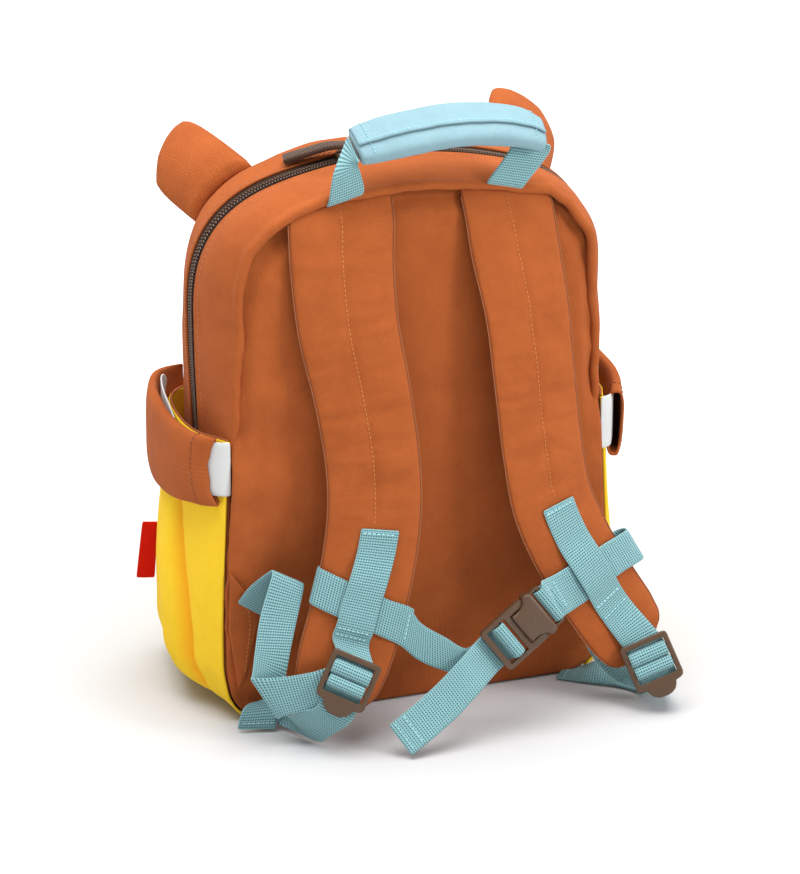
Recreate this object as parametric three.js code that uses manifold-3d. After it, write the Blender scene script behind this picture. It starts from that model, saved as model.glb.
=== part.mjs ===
// Kids backpack: cloth bag with two ears, padded straps, webbing and moulded buckles.
// Millimetres, +Z up, harness side towards -Y, origin on the floor under the base.
import * as THREE from "three";
import Module from "manifold-3d";

// Bag: half widths and heights of the seam outline seen from the harness side
const BOTTOM_HALF = 81;
const LOW_HALF = 108;
const LOW_Z = 36;
const SHOULDER_HALF = 99;
const SHOULDER_Z = 214;
const CROWN_HALF = 50;
const CROWN_Z = 278;
const APEX_Z = 284;
// Bag: depth of the back and front seams, and the zip between them
const BACK_Y = -43.5;
const FRONT_Y = 30.5;
const ZIP_REAR_Y = -12;
const ZIP_FRONT_Y = -3;
const ZIP_END_Z = 150;
const GAP = 0.3;
const CLOTH = 1.5;
const WALL = 2;
const ZIP_TAPE = 1.6;
const PANEL_RIM = 2;
const BACK_DOME = 8;
const FRONT_DOME = 11;
// Pockets
const POCKET_TOP_Z = 165;
const POCKET_SEAT_Y = 34.8;
const POCKET_FOLD = 5;
// Webbing, straps and buckles
const WEBBING = 20;
const WEBBING_THICK = 1.2;
const STRAP_HALF_THICK = 4;
const LOCK_WIDTH = 27;
const LOCK_THICK = 3;
const BUCKLE_WIDTH = 26;
const PLUG_THICK = 4;
const SOCKET_THICK = 8;

const V = (x, y, z) => new THREE.Vector3(x, y, z);

// Reads a column of a table between its rows
function between(table, key, value, column) {
  const last = table.length - 1;
  if (value <= table[0][key]) return table[0][column];
  if (value >= table[last][key]) return table[last][column];
  const row = table.findIndex((r) => r[key] > value) - 1;
  const share = (value - table[row][key]) / (table[row + 1][key] - table[row][key]);
  return table[row][column] + share * (table[row + 1][column] - table[row][column]);
}

// A closed body from vertices and triangles, turned so that its faces look outwards
function solid(points, triangles) {
  let volume = 0;
  for (const [a, b, c] of triangles) {
    volume += points[a].dot(points[b].clone().cross(points[c]));
  }
  const index = triangles.flatMap(([a, b, c]) => (volume < 0 ? [a, c, b] : [a, b, c]));
  const geometry = new THREE.BufferGeometry();
  const positions = points.flatMap((p) => [p.x, p.y, p.z]);
  geometry.setAttribute("position", new THREE.Float32BufferAttribute(positions, 3));
  geometry.setIndex(index);
  geometry.computeVertexNormals();
  return geometry;
}

// A wall between two faces given over a grid
function wall(columns, rows, outer, inner) {
  const points = [];
  const triangles = [];
  const count = (columns + 1) * (rows + 1);
  const at = (face, i, j) => face * count + i * (rows + 1) + j;
  const quad = (a, b, c, d) => triangles.push([a, b, c], [a, c, d]);
  for (const face of [outer, inner]) {
    for (let i = 0; i <= columns; i++) {
      for (let j = 0; j <= rows; j++) points.push(face(i / columns, j / rows));
    }
  }
  for (let i = 0; i < columns; i++) {
    for (let j = 0; j < rows; j++) {
      quad(at(0, i, j), at(0, i + 1, j), at(0, i + 1, j + 1), at(0, i, j + 1));
      quad(at(1, i, j), at(1, i, j + 1), at(1, i + 1, j + 1), at(1, i + 1, j));
    }
    quad(at(0, i, 0), at(1, i, 0), at(1, i + 1, 0), at(0, i + 1, 0));
    quad(at(0, i, rows), at(0, i + 1, rows), at(1, i + 1, rows), at(1, i, rows));
  }
  for (let j = 0; j < rows; j++) {
    quad(at(0, 0, j), at(0, 0, j + 1), at(1, 0, j + 1), at(1, 0, j));
    quad(at(0, columns, j), at(1, columns, j), at(1, columns, j + 1), at(0, columns, j + 1));
  }
  return solid(points, triangles);
}

// A wall of even thickness under an outer face; inward points from the face into the cloth
function shell(columns, rows, face, thickness, inward) {
  const step = 1e-3;
  const inner = (s, t) => {
    const along = face(Math.min(s + step, 1), t).sub(face(Math.max(s - step, 0), t));
    const up = face(s, Math.min(t + step, 1)).sub(face(s, Math.max(t - step, 0)));
    const normal = along.cross(up).normalize();
    const point = face(s, t);
    if (normal.dot(inward(point)) < 0) normal.negate();
    return point.addScaledVector(normal, thickness);
  };
  return wall(columns, rows, face, inner);
}

// A plate filling a closed rim (points in X and Z) with rings of vertices on both faces
function plate(rim, rings, middle, outerY, innerY) {
  const points = [];
  const triangles = [];
  const n = rim.length;
  const face = n * rings + 1;
  for (const depth of [outerY, innerY]) {
    for (let k = 0; k < rings; k++) {
      const r = 1 - k / rings;
      for (const p of rim) {
        const x = middle.x + (p.x - middle.x) * r;
        const z = middle.y + (p.y - middle.y) * r;
        points.push(V(x, depth(x, z, r), z));
      }
    }
    points.push(V(middle.x, depth(middle.x, middle.y, 0), middle.y));
  }
  for (let i = 0; i < n; i++) {
    const j = (i + 1) % n;
    for (const [base, flip] of [[0, false], [face, true]]) {
      const put = (a, b, c) => triangles.push(flip ? [a, c, b] : [a, b, c]);
      for (let k = 0; k < rings - 1; k++) {
        const [a, b] = [base + k * n + i, base + k * n + j];
        put(a, b, b + n);
        put(a, b + n, a + n);
      }
      const last = base + (rings - 1) * n;
      put(last + i, last + j, base + face - 1);
    }
    triangles.push([i, face + i, face + j], [i, face + j, j]);
  }
  return solid(points, triangles);
}

// A body through closed sections of equal point count, its ends filled
function loft(sections) {
  const points = sections.flat();
  const n = sections[0].length;
  const triangles = [];
  for (let k = 0; k < sections.length - 1; k++) {
    for (let i = 0; i < n; i++) {
      const [a, b] = [k * n + i, k * n + ((i + 1) % n)];
      triangles.push([a, b, b + n], [a, b + n, a + n]);
    }
  }
  for (const [k, flip] of [[0, true], [sections.length - 1, false]]) {
    const middle = V(0, 0, 0);
    sections[k].forEach((p) => middle.addScaledVector(p, 1 / n));
    const centre = points.push(middle) - 1;
    for (let i = 0; i < n; i++) {
      const [a, b] = [k * n + i, k * n + ((i + 1) % n)];
      triangles.push(flip ? [b, a, centre] : [a, b, centre]);
    }
  }
  return solid(points, triangles);
}

// A sleeve: closed sections, hollow inside, closed at its first end and open at its last
function sleeve(outer, inner) {
  const n = outer[0].length;
  const count = outer.length * n;
  const points = [...outer.flat(), ...inner.flat()];
  const triangles = [];
  const middleOf = (ring) => ring.reduce((m, p) => m.addScaledVector(p, 1 / n), V(0, 0, 0));
  const caps = [points.push(middleOf(outer[0])) - 1, points.push(middleOf(inner[0])) - 1];
  for (let i = 0; i < n; i++) {
    const j = (i + 1) % n;
    for (let k = 0; k < outer.length - 1; k++) {
      const [a, b] = [k * n + i, k * n + j];
      triangles.push([a, b, b + n], [a, b + n, a + n]);
      const [c, d] = [count + a, count + b];
      triangles.push([c, d + n, d], [c, c + n, d + n]);
    }
    const end = (outer.length - 1) * n;
    triangles.push([end + i, end + j, count + end + j], [end + i, count + end + j, count + end + i]);
    triangles.push([j, i, caps[0]], [count + i, count + j, caps[1]]);
  }
  return solid(points, triangles);
}

// Points of a rounded flat section, as shares of its half width and half thickness
function roundedSection(n, square) {
  const power = (v) => Math.sign(v) * Math.abs(v) ** square;
  return Array.from({ length: n }, (_, k) => {
    const angle = (2 * Math.PI * (k + 0.5)) / n;
    return { across: power(Math.cos(angle)), out: power(Math.sin(angle)) };
  });
}

// A route of rows {p, across}: place, heading, direction across and face direction
function routeFrames(route, steps) {
  const curve = new THREE.CatmullRomCurve3(route.map((r) => r.p), false, "centripetal");
  const spans = route.length - 1;
  const frames = [];
  for (let k = 0; k <= spans * steps; k++) {
    const t = k / (spans * steps);
    const row = Math.min(Math.floor(k / steps), spans - 1);
    const share = k / steps - row;
    const along = curve.getTangent(t).normalize();
    const across = route[row].across.clone().lerp(route[row + 1].across, share);
    across.addScaledVector(along, -across.dot(along)).normalize();
    const out = along.clone().cross(across).normalize();
    frames.push({ centre: curve.getPoint(t), along, across, out });
  }
  return frames;
}

// A band of webbing or tape along a route
function band(route, width, thickness, steps = 2) {
  const corners = [[1, 1], [-1, 1], [-1, -1], [1, -1]];
  return loft(routeFrames(route, steps).map((f) => corners.map(([a, o]) => f.centre.clone()
    .addScaledVector(f.across, (a * width) / 2)
    .addScaledVector(f.out, (o * thickness) / 2))));
}

// A flat moulding: closed shape with windows, pulled to a thickness about its middle
function moulding(shape, thickness) {
  const geometry = new THREE.ExtrudeGeometry(shape, { depth: thickness, bevelEnabled: false, curveSegments: 3 });
  return geometry.translate(0, 0, -thickness / 2);
}

// A rectangle with rounded corners as an outline or a window
function rounded(target, x0, y0, x1, y1, r) {
  target.moveTo(x0 + r, y0);
  target.lineTo(x1 - r, y0);
  target.quadraticCurveTo(x1, y0, x1, y0 + r);
  target.lineTo(x1, y1 - r);
  target.quadraticCurveTo(x1, y1, x1 - r, y1);
  target.lineTo(x0 + r, y1);
  target.quadraticCurveTo(x0, y1, x0, y1 - r);
  target.lineTo(x0, y0 + r);
  target.quadraticCurveTo(x0, y0, x0 + r, y0);
  return target;
}

const wasm = await Module();
wasm.setup();

function toManifold(geometry) {
  const lookup = new Map();
  const vertices = [];
  const source = geometry.getAttribute("position");
  const order = geometry.index ? Array.from(geometry.index.array) : Array.from({ length: source.count }, (_, i) => i);
  const triangles = order.map((i) => {
    const p = [source.getX(i), source.getY(i), source.getZ(i)];
    const key = p.map((v) => Math.round(v * 1e4)).join();
    if (!lookup.has(key)) {
      lookup.set(key, vertices.length / 3);
      vertices.push(...p);
    }
    return lookup.get(key);
  });
  return new wasm.Manifold(new wasm.Mesh({
    numProp: 3, vertProperties: new Float32Array(vertices), triVerts: new Uint32Array(triangles),
  }));
}

function joined(a, b) {
  const mesh = toManifold(a).add(toManifold(b)).getMesh();
  const geometry = new THREE.BufferGeometry();
  geometry.setAttribute("position", new THREE.Float32BufferAttribute(Array.from(mesh.vertProperties), 3));
  geometry.setIndex(Array.from(mesh.triVerts));
  geometry.computeVertexNormals();
  return geometry;
}

const backpack = new THREE.Group();
backpack.name = "kids_backpack";

function cloth(name, hex, roughness = 0.9, metalness = 0) {
  return Object.assign(new THREE.MeshStandardMaterial({ color: hex, roughness, metalness }), { name });
}

const BROWN = cloth("brown_cloth", 0xa5562d);
const YELLOW = cloth("yellow_cloth", 0xf2c92f);
const BLUE = cloth("light_blue_cloth", 0xb9e2e9);
const TEAL = cloth("teal_webbing", 0x7fb0b8, 0.85);
const ZIP_BROWN = cloth("zip_tape", 0x563623, 0.7);
const ELASTIC = cloth("white_elastic", 0xdcd9d2);
const RED = cloth("red_tag_cloth", 0xb91e09);
const PLASTIC = cloth("brown_plastic", 0x5b4433, 0.45);

function piece(name, geometry, material) {
  const mesh = new THREE.Mesh(geometry, material);
  mesh.name = name;
  backpack.add(mesh);
}

// Seam outline from the lower left over the arch to the lower right
const outline = new THREE.Path();
outline.moveTo(-BOTTOM_HALF, 0);
outline.quadraticCurveTo(-LOW_HALF, 0, -LOW_HALF, LOW_Z);
outline.bezierCurveTo(-LOW_HALF, 90, -100, 180, -SHOULDER_HALF, SHOULDER_Z);
outline.bezierCurveTo(-SHOULDER_HALF, 256, -87, 269, -CROWN_HALF, CROWN_Z);
outline.quadraticCurveTo(-CROWN_HALF / 2, APEX_Z, 0, APEX_Z);
outline.quadraticCurveTo(CROWN_HALF / 2, APEX_Z, CROWN_HALF, CROWN_Z);
outline.bezierCurveTo(87, 269, SHOULDER_HALF, 256, SHOULDER_HALF, SHOULDER_Z);
outline.bezierCurveTo(100, 180, LOW_HALF, 90, LOW_HALF, LOW_Z);
outline.quadraticCurveTo(LOW_HALF, 0, BOTTOM_HALF, 0);
const OUTLINE_LENGTH = outline.getLength();

// Share of the outline at which its left side reaches a height
function shareAt(z) {
  let [low, high] = [0, 0.5];
  for (let k = 0; k < 40; k++) {
    const middle = (low + high) / 2;
    if (outline.getPoint(middle).y < z) low = middle;
    else high = middle;
  }
  return low;
}

const halfWidthAt = (z) => -outline.getPoint(shareAt(z)).x;

// How much of the bulge shows at a height
const BULGE_SHARE = [
  { z: 0, share: 0 },
  { z: 40, share: 0.2 },
  { z: 110, share: 0.3 },
  { z: 165, share: 0.75 },
  { z: 200, share: 1 },
];
// How far the cloth stands out of the seam outline between back seam (0) and front seam (1)
const BULGE = [
  { depth: 0, side: 0, top: 0 },
  { depth: 0.08, side: 3.2, top: 2.4 },
  { depth: 0.2, side: 7.4, top: 5.4 },
  { depth: 0.35, side: 10.8, top: 7.8 },
  { depth: 0.5, side: 12.8, top: 9.4 },
  { depth: 0.65, side: 12.4, top: 11.6 },
  { depth: 0.8, side: 10, top: 12.6 },
  { depth: 0.92, side: 6, top: 10.4 },
  { depth: 1, side: 3.2, top: 7 },
];

// Point of the bag's outer cloth: share along the outline, depth, and offset out of the cloth
function bagPoint(u, y, offset = 0) {
  const p = outline.getPoint(u);
  const t = outline.getTangent(u);
  const depth = THREE.MathUtils.clamp((y - BACK_Y) / (FRONT_Y - BACK_Y), 0, 1);
  const top = THREE.MathUtils.smoothstep(p.y, 236, 282);
  const swell = THREE.MathUtils.lerp(between(BULGE, "depth", depth, "side"), between(BULGE, "depth", depth, "top"), top);
  const out = between(BULGE_SHARE, "z", p.y, "share") * swell + offset;
  return V(p.x - t.y * out, y, p.y + t.x * out);
}

const bagMiddle = V(0, -6, 140);
const intoBag = (p) => bagMiddle.clone().setY(p.y).sub(p);

// Outward swelling of the two large panels at a place
function swelling(x, z, height) {
  const side = Math.max(0, 1 - (x / 110) ** 2);
  const rise = Math.max(0, 1 - ((z - 142) / 146) ** 2);
  return height * (side * rise) ** 0.8;
}

const backFaceY = (x, z) => BACK_Y - PANEL_RIM - swelling(x, z, BACK_DOME);
const frontFaceY = (x, z) => FRONT_Y + PANEL_RIM + swelling(x, z, FRONT_DOME);

// Back and front panels, with the base between them
function panelRim(y) {
  const rim = [];
  for (let k = 0; k <= 44; k++) {
    const p = bagPoint(k / 44, y);
    rim.push(new THREE.Vector2(p.x, p.z));
  }
  for (let k = 1; k < 8; k++) rim.push(new THREE.Vector2(BOTTOM_HALF * (1 - k / 4), 0));
  return rim;
}
const panelMiddle = new THREE.Vector2(0, 138);
piece("back_panel", plate(panelRim(BACK_Y), 4, panelMiddle, backFaceY,
  (x, z, r) => BACK_Y - 0.55 * swelling(x, z, BACK_DOME) * (1 - r ** 4)), BROWN);
piece("front_panel", plate(panelRim(FRONT_Y), 3, panelMiddle, frontFaceY,
  (x, z, r) => FRONT_Y + 0.9 * swelling(x, z, FRONT_DOME) * (1 - r ** 4)), BROWN);
const baseDepth = FRONT_Y - BACK_Y - 2 * GAP;
piece("base_panel", new THREE.BoxGeometry(2 * (BOTTOM_HALF - GAP), baseDepth, WALL)
  .translate(0, (FRONT_Y + BACK_Y) / 2, WALL / 2), BROWN);

// Gusset strips and zip over the arch, side panels below the zip ends
const ZIP_SHARE = shareAt(ZIP_END_Z);
const GAP_SHARE = GAP / OUTLINE_LENGTH;
function archStrip(y0, y1, rows, thickness, offset) {
  const face = (s, t) => bagPoint(ZIP_SHARE + (1 - 2 * ZIP_SHARE) * s, y0 + (y1 - y0) * t, offset);
  return shell(36, rows, face, thickness, intoBag);
}
piece("gusset_rear", archStrip(BACK_Y + GAP, ZIP_REAR_Y - GAP, 3, WALL, 0), BROWN);
piece("zipper_tape", archStrip(ZIP_REAR_Y, ZIP_FRONT_Y, 1, ZIP_TAPE, -0.4), ZIP_BROWN);
piece("gusset_front", archStrip(ZIP_FRONT_Y + GAP, FRONT_Y - GAP, 3, WALL, 0), BROWN);
for (const [side, start, end] of [["left", 0, ZIP_SHARE - GAP_SHARE], ["right", 1, 1 - ZIP_SHARE + GAP_SHARE]]) {
  const face = (s, t) => bagPoint(start + (end - start) * s, BACK_Y + GAP + (FRONT_Y - BACK_Y - 2 * GAP) * t);
  piece(`side_panel_${side}`, shell(10, 6, face, WALL, intoBag), BROWN);
}

// Pocket cloth round the lower bag: plan of its left half, from the back seam to the front middle
const POCKET_PLAN = [
  { y: -42.9, out: 2.3 },
  { y: -37, out: 7 },
  { y: -26, out: 12 },
  { y: -8, out: 16 },
  { y: 14, out: 16 },
  { y: 34, out: 13 },
  { y: 48, out: 7 },
  { y: 56, out: -2 },
];
const POCKET_FRONT = [
  { x: -82, y: 61 },
  { x: -42, y: 64 },
  { x: 0, y: 65 },
];
// Pocket cloth: heights, share the sides stand out there and their least, how far the front stands
// forward, and how far it is tucked back under the bag
const POCKET_ROWS = [
  { z: POCKET_TOP_Z, side: 1.09, least: 2.3, front: -3, tuck: 0 },
  { z: 140, side: 1.03, least: 2.3, front: 0, tuck: 0 },
  { z: 108, side: 0.97, least: 2.3, front: 3, tuck: 0 },
  { z: 74, side: 1.06, least: 2.3, front: 7, tuck: 0 },
  { z: 44, side: 1.04, least: 2.3, front: 10, tuck: 0 },
  { z: 24, side: 0.98, least: 2.6, front: 11, tuck: 0 },
  { z: 11, side: 0.78, least: 3.6, front: 9, tuck: 0 },
  { z: 4, side: 0.4, least: 4.8, front: 4, tuck: 0.1 },
  { z: 1.7, side: 0.2, least: 6.4, front: 0, tuck: 1 },
];
const pocketCurves = POCKET_ROWS.map((row) => {
  const half = halfWidthAt(row.z);
  const tucked = (y) => {
    const forward = y + row.front * THREE.MathUtils.smoothstep(y, 25, 58);
    return forward > POCKET_SEAT_Y ? forward + (POCKET_SEAT_Y - forward) * row.tuck : forward;
  };
  const left = POCKET_PLAN.map((p) => {
    const out = p.y > 50 ? p.out * row.side : Math.max(p.y < -40 ? 0 : p.out * row.side, row.least);
    return V(-half - out, tucked(p.y), row.z);
  });
  const front = POCKET_FRONT.map((p) => V(p.x, tucked(p.y), row.z));
  const right = [...left, ...front.slice(0, -1)].reverse().map((p) => V(-p.x, p.y, p.z));
  return new THREE.CatmullRomCurve3([...left, ...front, ...right], false, "centripetal");
});

function pocketPoint(s, t) {
  const j = t * (POCKET_ROWS.length - 1);
  const row = Math.min(Math.floor(j), POCKET_ROWS.length - 2);
  const p = pocketCurves[row].getPointAt(s).lerp(pocketCurves[row + 1].getPointAt(s), j - row);
  const foldY = -29.6 + 0.39 * p.z;
  const fade = THREE.MathUtils.smoothstep(p.z, 8, 30) * (1 - THREE.MathUtils.smoothstep(p.z, 110, 150));
  const fold = POCKET_FOLD * fade * Math.exp(-(((p.y - foldY) / 6) ** 2));
  if (Math.abs(p.x) > 98) p.x -= Math.sign(p.x) * fold;
  return p;
}

const intoPocket = (p) => V(0, 0, p.z + 20).sub(p);
const CORNER_SHARE = 0.262;
const CORNER_GAP = 0.0004;
function pocket(name, start, end, columns) {
  const face = (s, t) => pocketPoint(start + (end - start) * s, t);
  piece(name, shell(columns, POCKET_ROWS.length - 1, face, CLOTH, intoPocket), YELLOW);
}
pocket("pocket_left", 0, CORNER_SHARE - CORNER_GAP, 17);
pocket("pocket_front", CORNER_SHARE + CORNER_GAP, 1 - CORNER_SHARE - CORNER_GAP, 14);
pocket("pocket_right", 1 - CORNER_SHARE + CORNER_GAP, 1, 17);

// Ears: stuffed cloth standing out of the front seam at the shoulders of the arch
const EAR_BASE = { low: shareAt(252), high: shareAt(274) };
const EAR_UPRIGHT = { inward: -1, up: 4 };
const EAR_HEIGHT = 42;
const EAR_SEAT = 1.4;
const EAR_Y = 27;
const EAR_LEAN = THREE.MathUtils.degToRad(60);
const EAR_STUFFING = 5;
for (const [side, mirror] of [["left", 1], ["right", -1]]) {
  const face = (sign) => (s, t) => {
    const spread = 2 * s - 1;
    const share = EAR_BASE.low + (EAR_BASE.high - EAR_BASE.low) * s;
    const u = mirror > 0 ? share : 1 - share;
    const height = EAR_HEIGHT * (1 - 0.96 * Math.abs(spread) ** 4) ** 0.55 * t;
    const plump = 1.2 + EAR_STUFFING * (1 - spread ** 4) * Math.sin(Math.PI * Math.min(1, 0.05 + 0.95 * t)) ** 0.7;
    const lift = EAR_SEAT + height * Math.cos(EAR_LEAN) - sign * plump * Math.sin(EAR_LEAN);
    const y = EAR_Y + height * Math.sin(EAR_LEAN) + sign * plump * Math.cos(EAR_LEAN);
    const base = bagPoint(u, EAR_Y);
    const out = bagPoint(u, EAR_Y, 1).sub(base);
    const upright = height / EAR_HEIGHT;
    base.addScaledVector(out, lift).setY(y);
    return base.add(V(mirror * EAR_UPRIGHT.inward * upright, 0, EAR_UPRIGHT.up * upright));
  };
  piece(`ear_${side}`, wall(8, 5, face(1), face(-1)), BROWN);
}

// Shoulder straps from the back seam down to their rounded lower ends: centre, width, how far the
// strap is turned to the side in degrees, and the slant of its end along the seam
const STRAPS = {
  left: [
    { x: -46, y: -52.1, z: 277, width: 54, turn: -4, slant: 0.22 },
    { x: -46, y: -55.5, z: 250, width: 53, turn: -8, slant: 0.05 },
    { x: -45, y: -63, z: 218, width: 51, turn: -12, slant: 0 },
    { x: -40, y: -69, z: 185, width: 49, turn: -14, slant: 0 },
    { x: -36, y: -73.5, z: 150, width: 48, turn: -14, slant: 0 },
    { x: -36, y: -76.5, z: 123, width: 48, turn: -14, slant: 0 },
    { x: -40.5, y: -79.5, z: 95, width: 48, turn: -14, slant: 0 },
    { x: -47, y: -82, z: 72, width: 48, turn: -14, slant: 0 },
    { x: -55, y: -84.5, z: 48, width: 48, turn: -14, slant: 0 },
    { x: -60.5, y: -86, z: 33, width: 44, turn: -14, slant: 0 },
    { x: -63, y: -86.8, z: 26, width: 36, turn: -14, slant: 0 },
    { x: -64.5, y: -87.2, z: 22, width: 20, turn: -14, slant: 0 },
  ],
  right: [
    { x: 45, y: -52.3, z: 276.5, width: 54, turn: 4, slant: -0.34 },
    { x: 48, y: -55.5, z: 248, width: 52, turn: 6, slant: -0.1 },
    { x: 53, y: -63, z: 218, width: 49, turn: 8, slant: 0 },
    { x: 55.5, y: -69, z: 180, width: 48, turn: 9, slant: 0 },
    { x: 58.5, y: -74, z: 143, width: 48, turn: 10, slant: 0 },
    { x: 63, y: -77.5, z: 115, width: 48, turn: 10, slant: 0 },
    { x: 74, y: -81, z: 88, width: 48, turn: 10, slant: 0 },
    { x: 88, y: -84, z: 63, width: 47, turn: 10, slant: 0 },
    { x: 101, y: -86, z: 43, width: 46, turn: 10, slant: 0 },
    { x: 107, y: -87, z: 35, width: 42, turn: 10, slant: 0 },
    { x: 110.5, y: -87.3, z: 30.5, width: 34, turn: 10, slant: 0 },
    { x: 112.5, y: -87.5, z: 28, width: 20, turn: 10, slant: 0 },
  ],
};
const strapFrames = {};
for (const side of ["left", "right"]) {
  const rows = STRAPS[side];
  const route = rows.map((r) => {
    const turn = THREE.MathUtils.degToRad(r.turn);
    return { p: V(r.x, r.y, r.z), across: V(Math.cos(turn), Math.sin(turn), 0) };
  });
  const frames = routeFrames(route, 2);
  frames.forEach((f, k) => {
    const row = Math.min(Math.floor(k / 2), rows.length - 2);
    const mix = (column) => THREE.MathUtils.lerp(rows[row][column], rows[row + 1][column], k / 2 - row);
    f.half = mix("width") / 2;
    f.slant = mix("slant");
    f.thick = STRAP_HALF_THICK * Math.min(1, 0.45 + f.half / 40);
  });
  strapFrames[side] = frames;
  const section = roundedSection(10, 0.62);
  piece(`shoulder_strap_${side}`, loft(frames.map((f) => section.map((c) => f.centre.clone()
    .addScaledVector(f.across, c.across * f.half)
    .addScaledVector(f.along, -f.slant * c.across * f.half)
    .addScaledVector(f.out, c.out * f.thick)))), BROWN);
}

// Frame of a strap at a height, between its own frames
function strapAt(side, z) {
  const frames = strapFrames[side];
  const k = Math.max(1, frames.findIndex((f) => f.centre.z < z));
  const share = (frames[k - 1].centre.z - z) / (frames[k - 1].centre.z - frames[k].centre.z);
  const mix = (key) => frames[k - 1][key].clone().lerp(frames[k][key], share);
  const half = THREE.MathUtils.lerp(frames[k - 1].half, frames[k].half, share);
  const frame = { centre: mix("centre"), along: mix("along").normalize(), half };
  frame.across = mix("across").normalize();
  frame.out = mix("out").normalize();
  frame.at = (across, out) => frame.centre.clone()
    .addScaledVector(frame.across, across).addScaledVector(frame.out, out);
  return frame;
}

// A moulding's own frame: place of its upper edge, direction down its length, across and out
function mouldFrame(origin, down, across) {
  down.normalize();
  across.addScaledVector(down, -across.dot(down)).normalize();
  const out = down.clone().cross(across);
  const matrix = new THREE.Matrix4().makeBasis(across, down, out.clone().negate()).setPosition(origin);
  const at = (along, height) => ({
    p: origin.clone().addScaledVector(down, along).addScaledVector(out, height), across,
  });
  return { origin, down, across, out, matrix, at };
}

// Ladder locks: frame with a sewing bar, an adjusting bar and a lip
const LOCK_BARS = [
  { start: 3, end: 7.2 },
  { start: 9.8, end: 15.2 },
  { start: 17.8, end: 22.4 },
];
const LOCKS = {
  left: mouldFrame(V(-53, -99, 52), V(-15, -4, -28.5), V(0.72, -0.45, -0.45)),
  right: mouldFrame(V(106.5, -99.5, 38.5), V(0.267, -0.43, -0.862), V(0.878, -0.143, 0.457)),
};
for (const side of ["left", "right"]) {
  const half = LOCK_WIDTH / 2;
  const shape = new THREE.Shape();
  shape.moveTo(-half + 2, 0);
  shape.lineTo(half - 2, 0);
  shape.quadraticCurveTo(half, 0, half, 2);
  shape.lineTo(half, 24);
  shape.quadraticCurveTo(half, 27, half - 3, 27.5);
  shape.lineTo(half - 4.5, 31);
  shape.quadraticCurveTo(0, 33, -half + 4.5, 31);
  shape.lineTo(-half + 3, 27.5);
  shape.quadraticCurveTo(-half, 27, -half, 24);
  shape.lineTo(-half, 2);
  shape.quadraticCurveTo(-half, 0, -half + 2, 0);
  for (const bar of LOCK_BARS) {
    shape.holes.push(rounded(new THREE.Path(), -WEBBING / 2 - 0.7, bar.start, WEBBING / 2 + 0.7, bar.end, 0.6));
  }
  piece(`ladder_lock_${side}`, moulding(shape, LOCK_THICK).applyMatrix4(LOCKS[side].matrix), PLASTIC);
}

// Chest buckle: plug with its adjuster frame and side prongs, socket with its sewing bar
const BUCKLE = mouldFrame(V(20, -104.5, 46), V(0.81, 0.05, 0.58), V(-0.5, 0.25, 0.83));
{
  const half = BUCKLE_WIDTH / 2;
  const plug = rounded(new THREE.Shape(), -half, 0, half, 18, 2);
  const window = WEBBING / 2 + 0.7;
  plug.holes.push(rounded(new THREE.Path(), -window, 3, window, 8.4, 0.6));
  plug.holes.push(rounded(new THREE.Path(), -window, 11, window, 15, 0.6));
  let body = moulding(plug, PLUG_THICK);
  for (const sign of [-1, 1]) {
    const prong = rounded(new THREE.Shape(), Math.min(sign * half, sign * (half - 3.6)), 17,
      Math.max(sign * half, sign * (half - 3.6)), 28, 1.2);
    body = joined(body, moulding(prong, PLUG_THICK));
  }
  piece("buckle_plug", body.applyMatrix4(BUCKLE.matrix), PLASTIC);
  const inner = half - 3.6 - GAP;
  const socket = new THREE.Shape();
  socket.moveTo(-inner, 18 + GAP);
  socket.lineTo(inner, 18 + GAP);
  socket.lineTo(inner, 28 + GAP);
  socket.lineTo(half, 28 + GAP);
  socket.quadraticCurveTo(half, 33, half - 1, 34);
  socket.lineTo(-half + 1, 34);
  socket.quadraticCurveTo(-half, 33, -half, 28 + GAP);
  socket.lineTo(-inner, 28 + GAP);
  socket.closePath();
  const loop = rounded(new THREE.Shape(), -half + 1, 30, half - 1, 40, 1);
  loop.holes.push(rounded(new THREE.Path(), -window, 34, window, 37.4, 0.6));
  piece("buckle_socket", joined(moulding(socket, SOCKET_THICK), moulding(loop, LOCK_THICK))
    .applyMatrix4(BUCKLE.matrix), PLASTIC);
}

// Webbing sewn on the straps, lifted over the chest strap, round the sewing bar of the lock
const CHEST_Z = { left: 73.5, right: 80 };
const CHEST_LEAN = { left: 5, right: 5 };
const CHEST_SLACK = { left: 1.4, right: 8 };
const FLAT = STRAP_HALF_THICK + GAP + WEBBING_THICK / 2;
const STRAP_WEBBING_Z = { left: [113, 100, 87, 75, 63], right: [114.5, 106, 93.5, 82, 70, 64] };
const CHEST_COVER = { reach: 14, lift: 2.3 };
const UNDER = LOCK_THICK / 2 + GAP + WEBBING_THICK / 2;
for (const side of ["left", "right"]) {
  const lock = LOCKS[side];
  const rows = STRAP_WEBBING_Z[side].map((z) => {
    const frame = strapAt(side, z);
    const over = Math.abs(z - CHEST_Z[side]) < CHEST_COVER.reach ? CHEST_COVER.lift : 0;
    return { p: frame.at(0, FLAT + over), across: frame.across };
  });
  rows.push(lock.at(-3, -UNDER - 0.6), lock.at(2, -UNDER), lock.at(4.4, -UNDER + 0.7), lock.at(5.4, 0),
    lock.at(6.6, UNDER - 0.2), lock.at(8.5, UNDER), lock.at(10.4, UNDER - 0.4), lock.at(11, 0), lock.at(11, -1.4));
  piece(`strap_webbing_${side}`, band(rows, WEBBING, WEBBING_THICK), TEAL);
}

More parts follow.
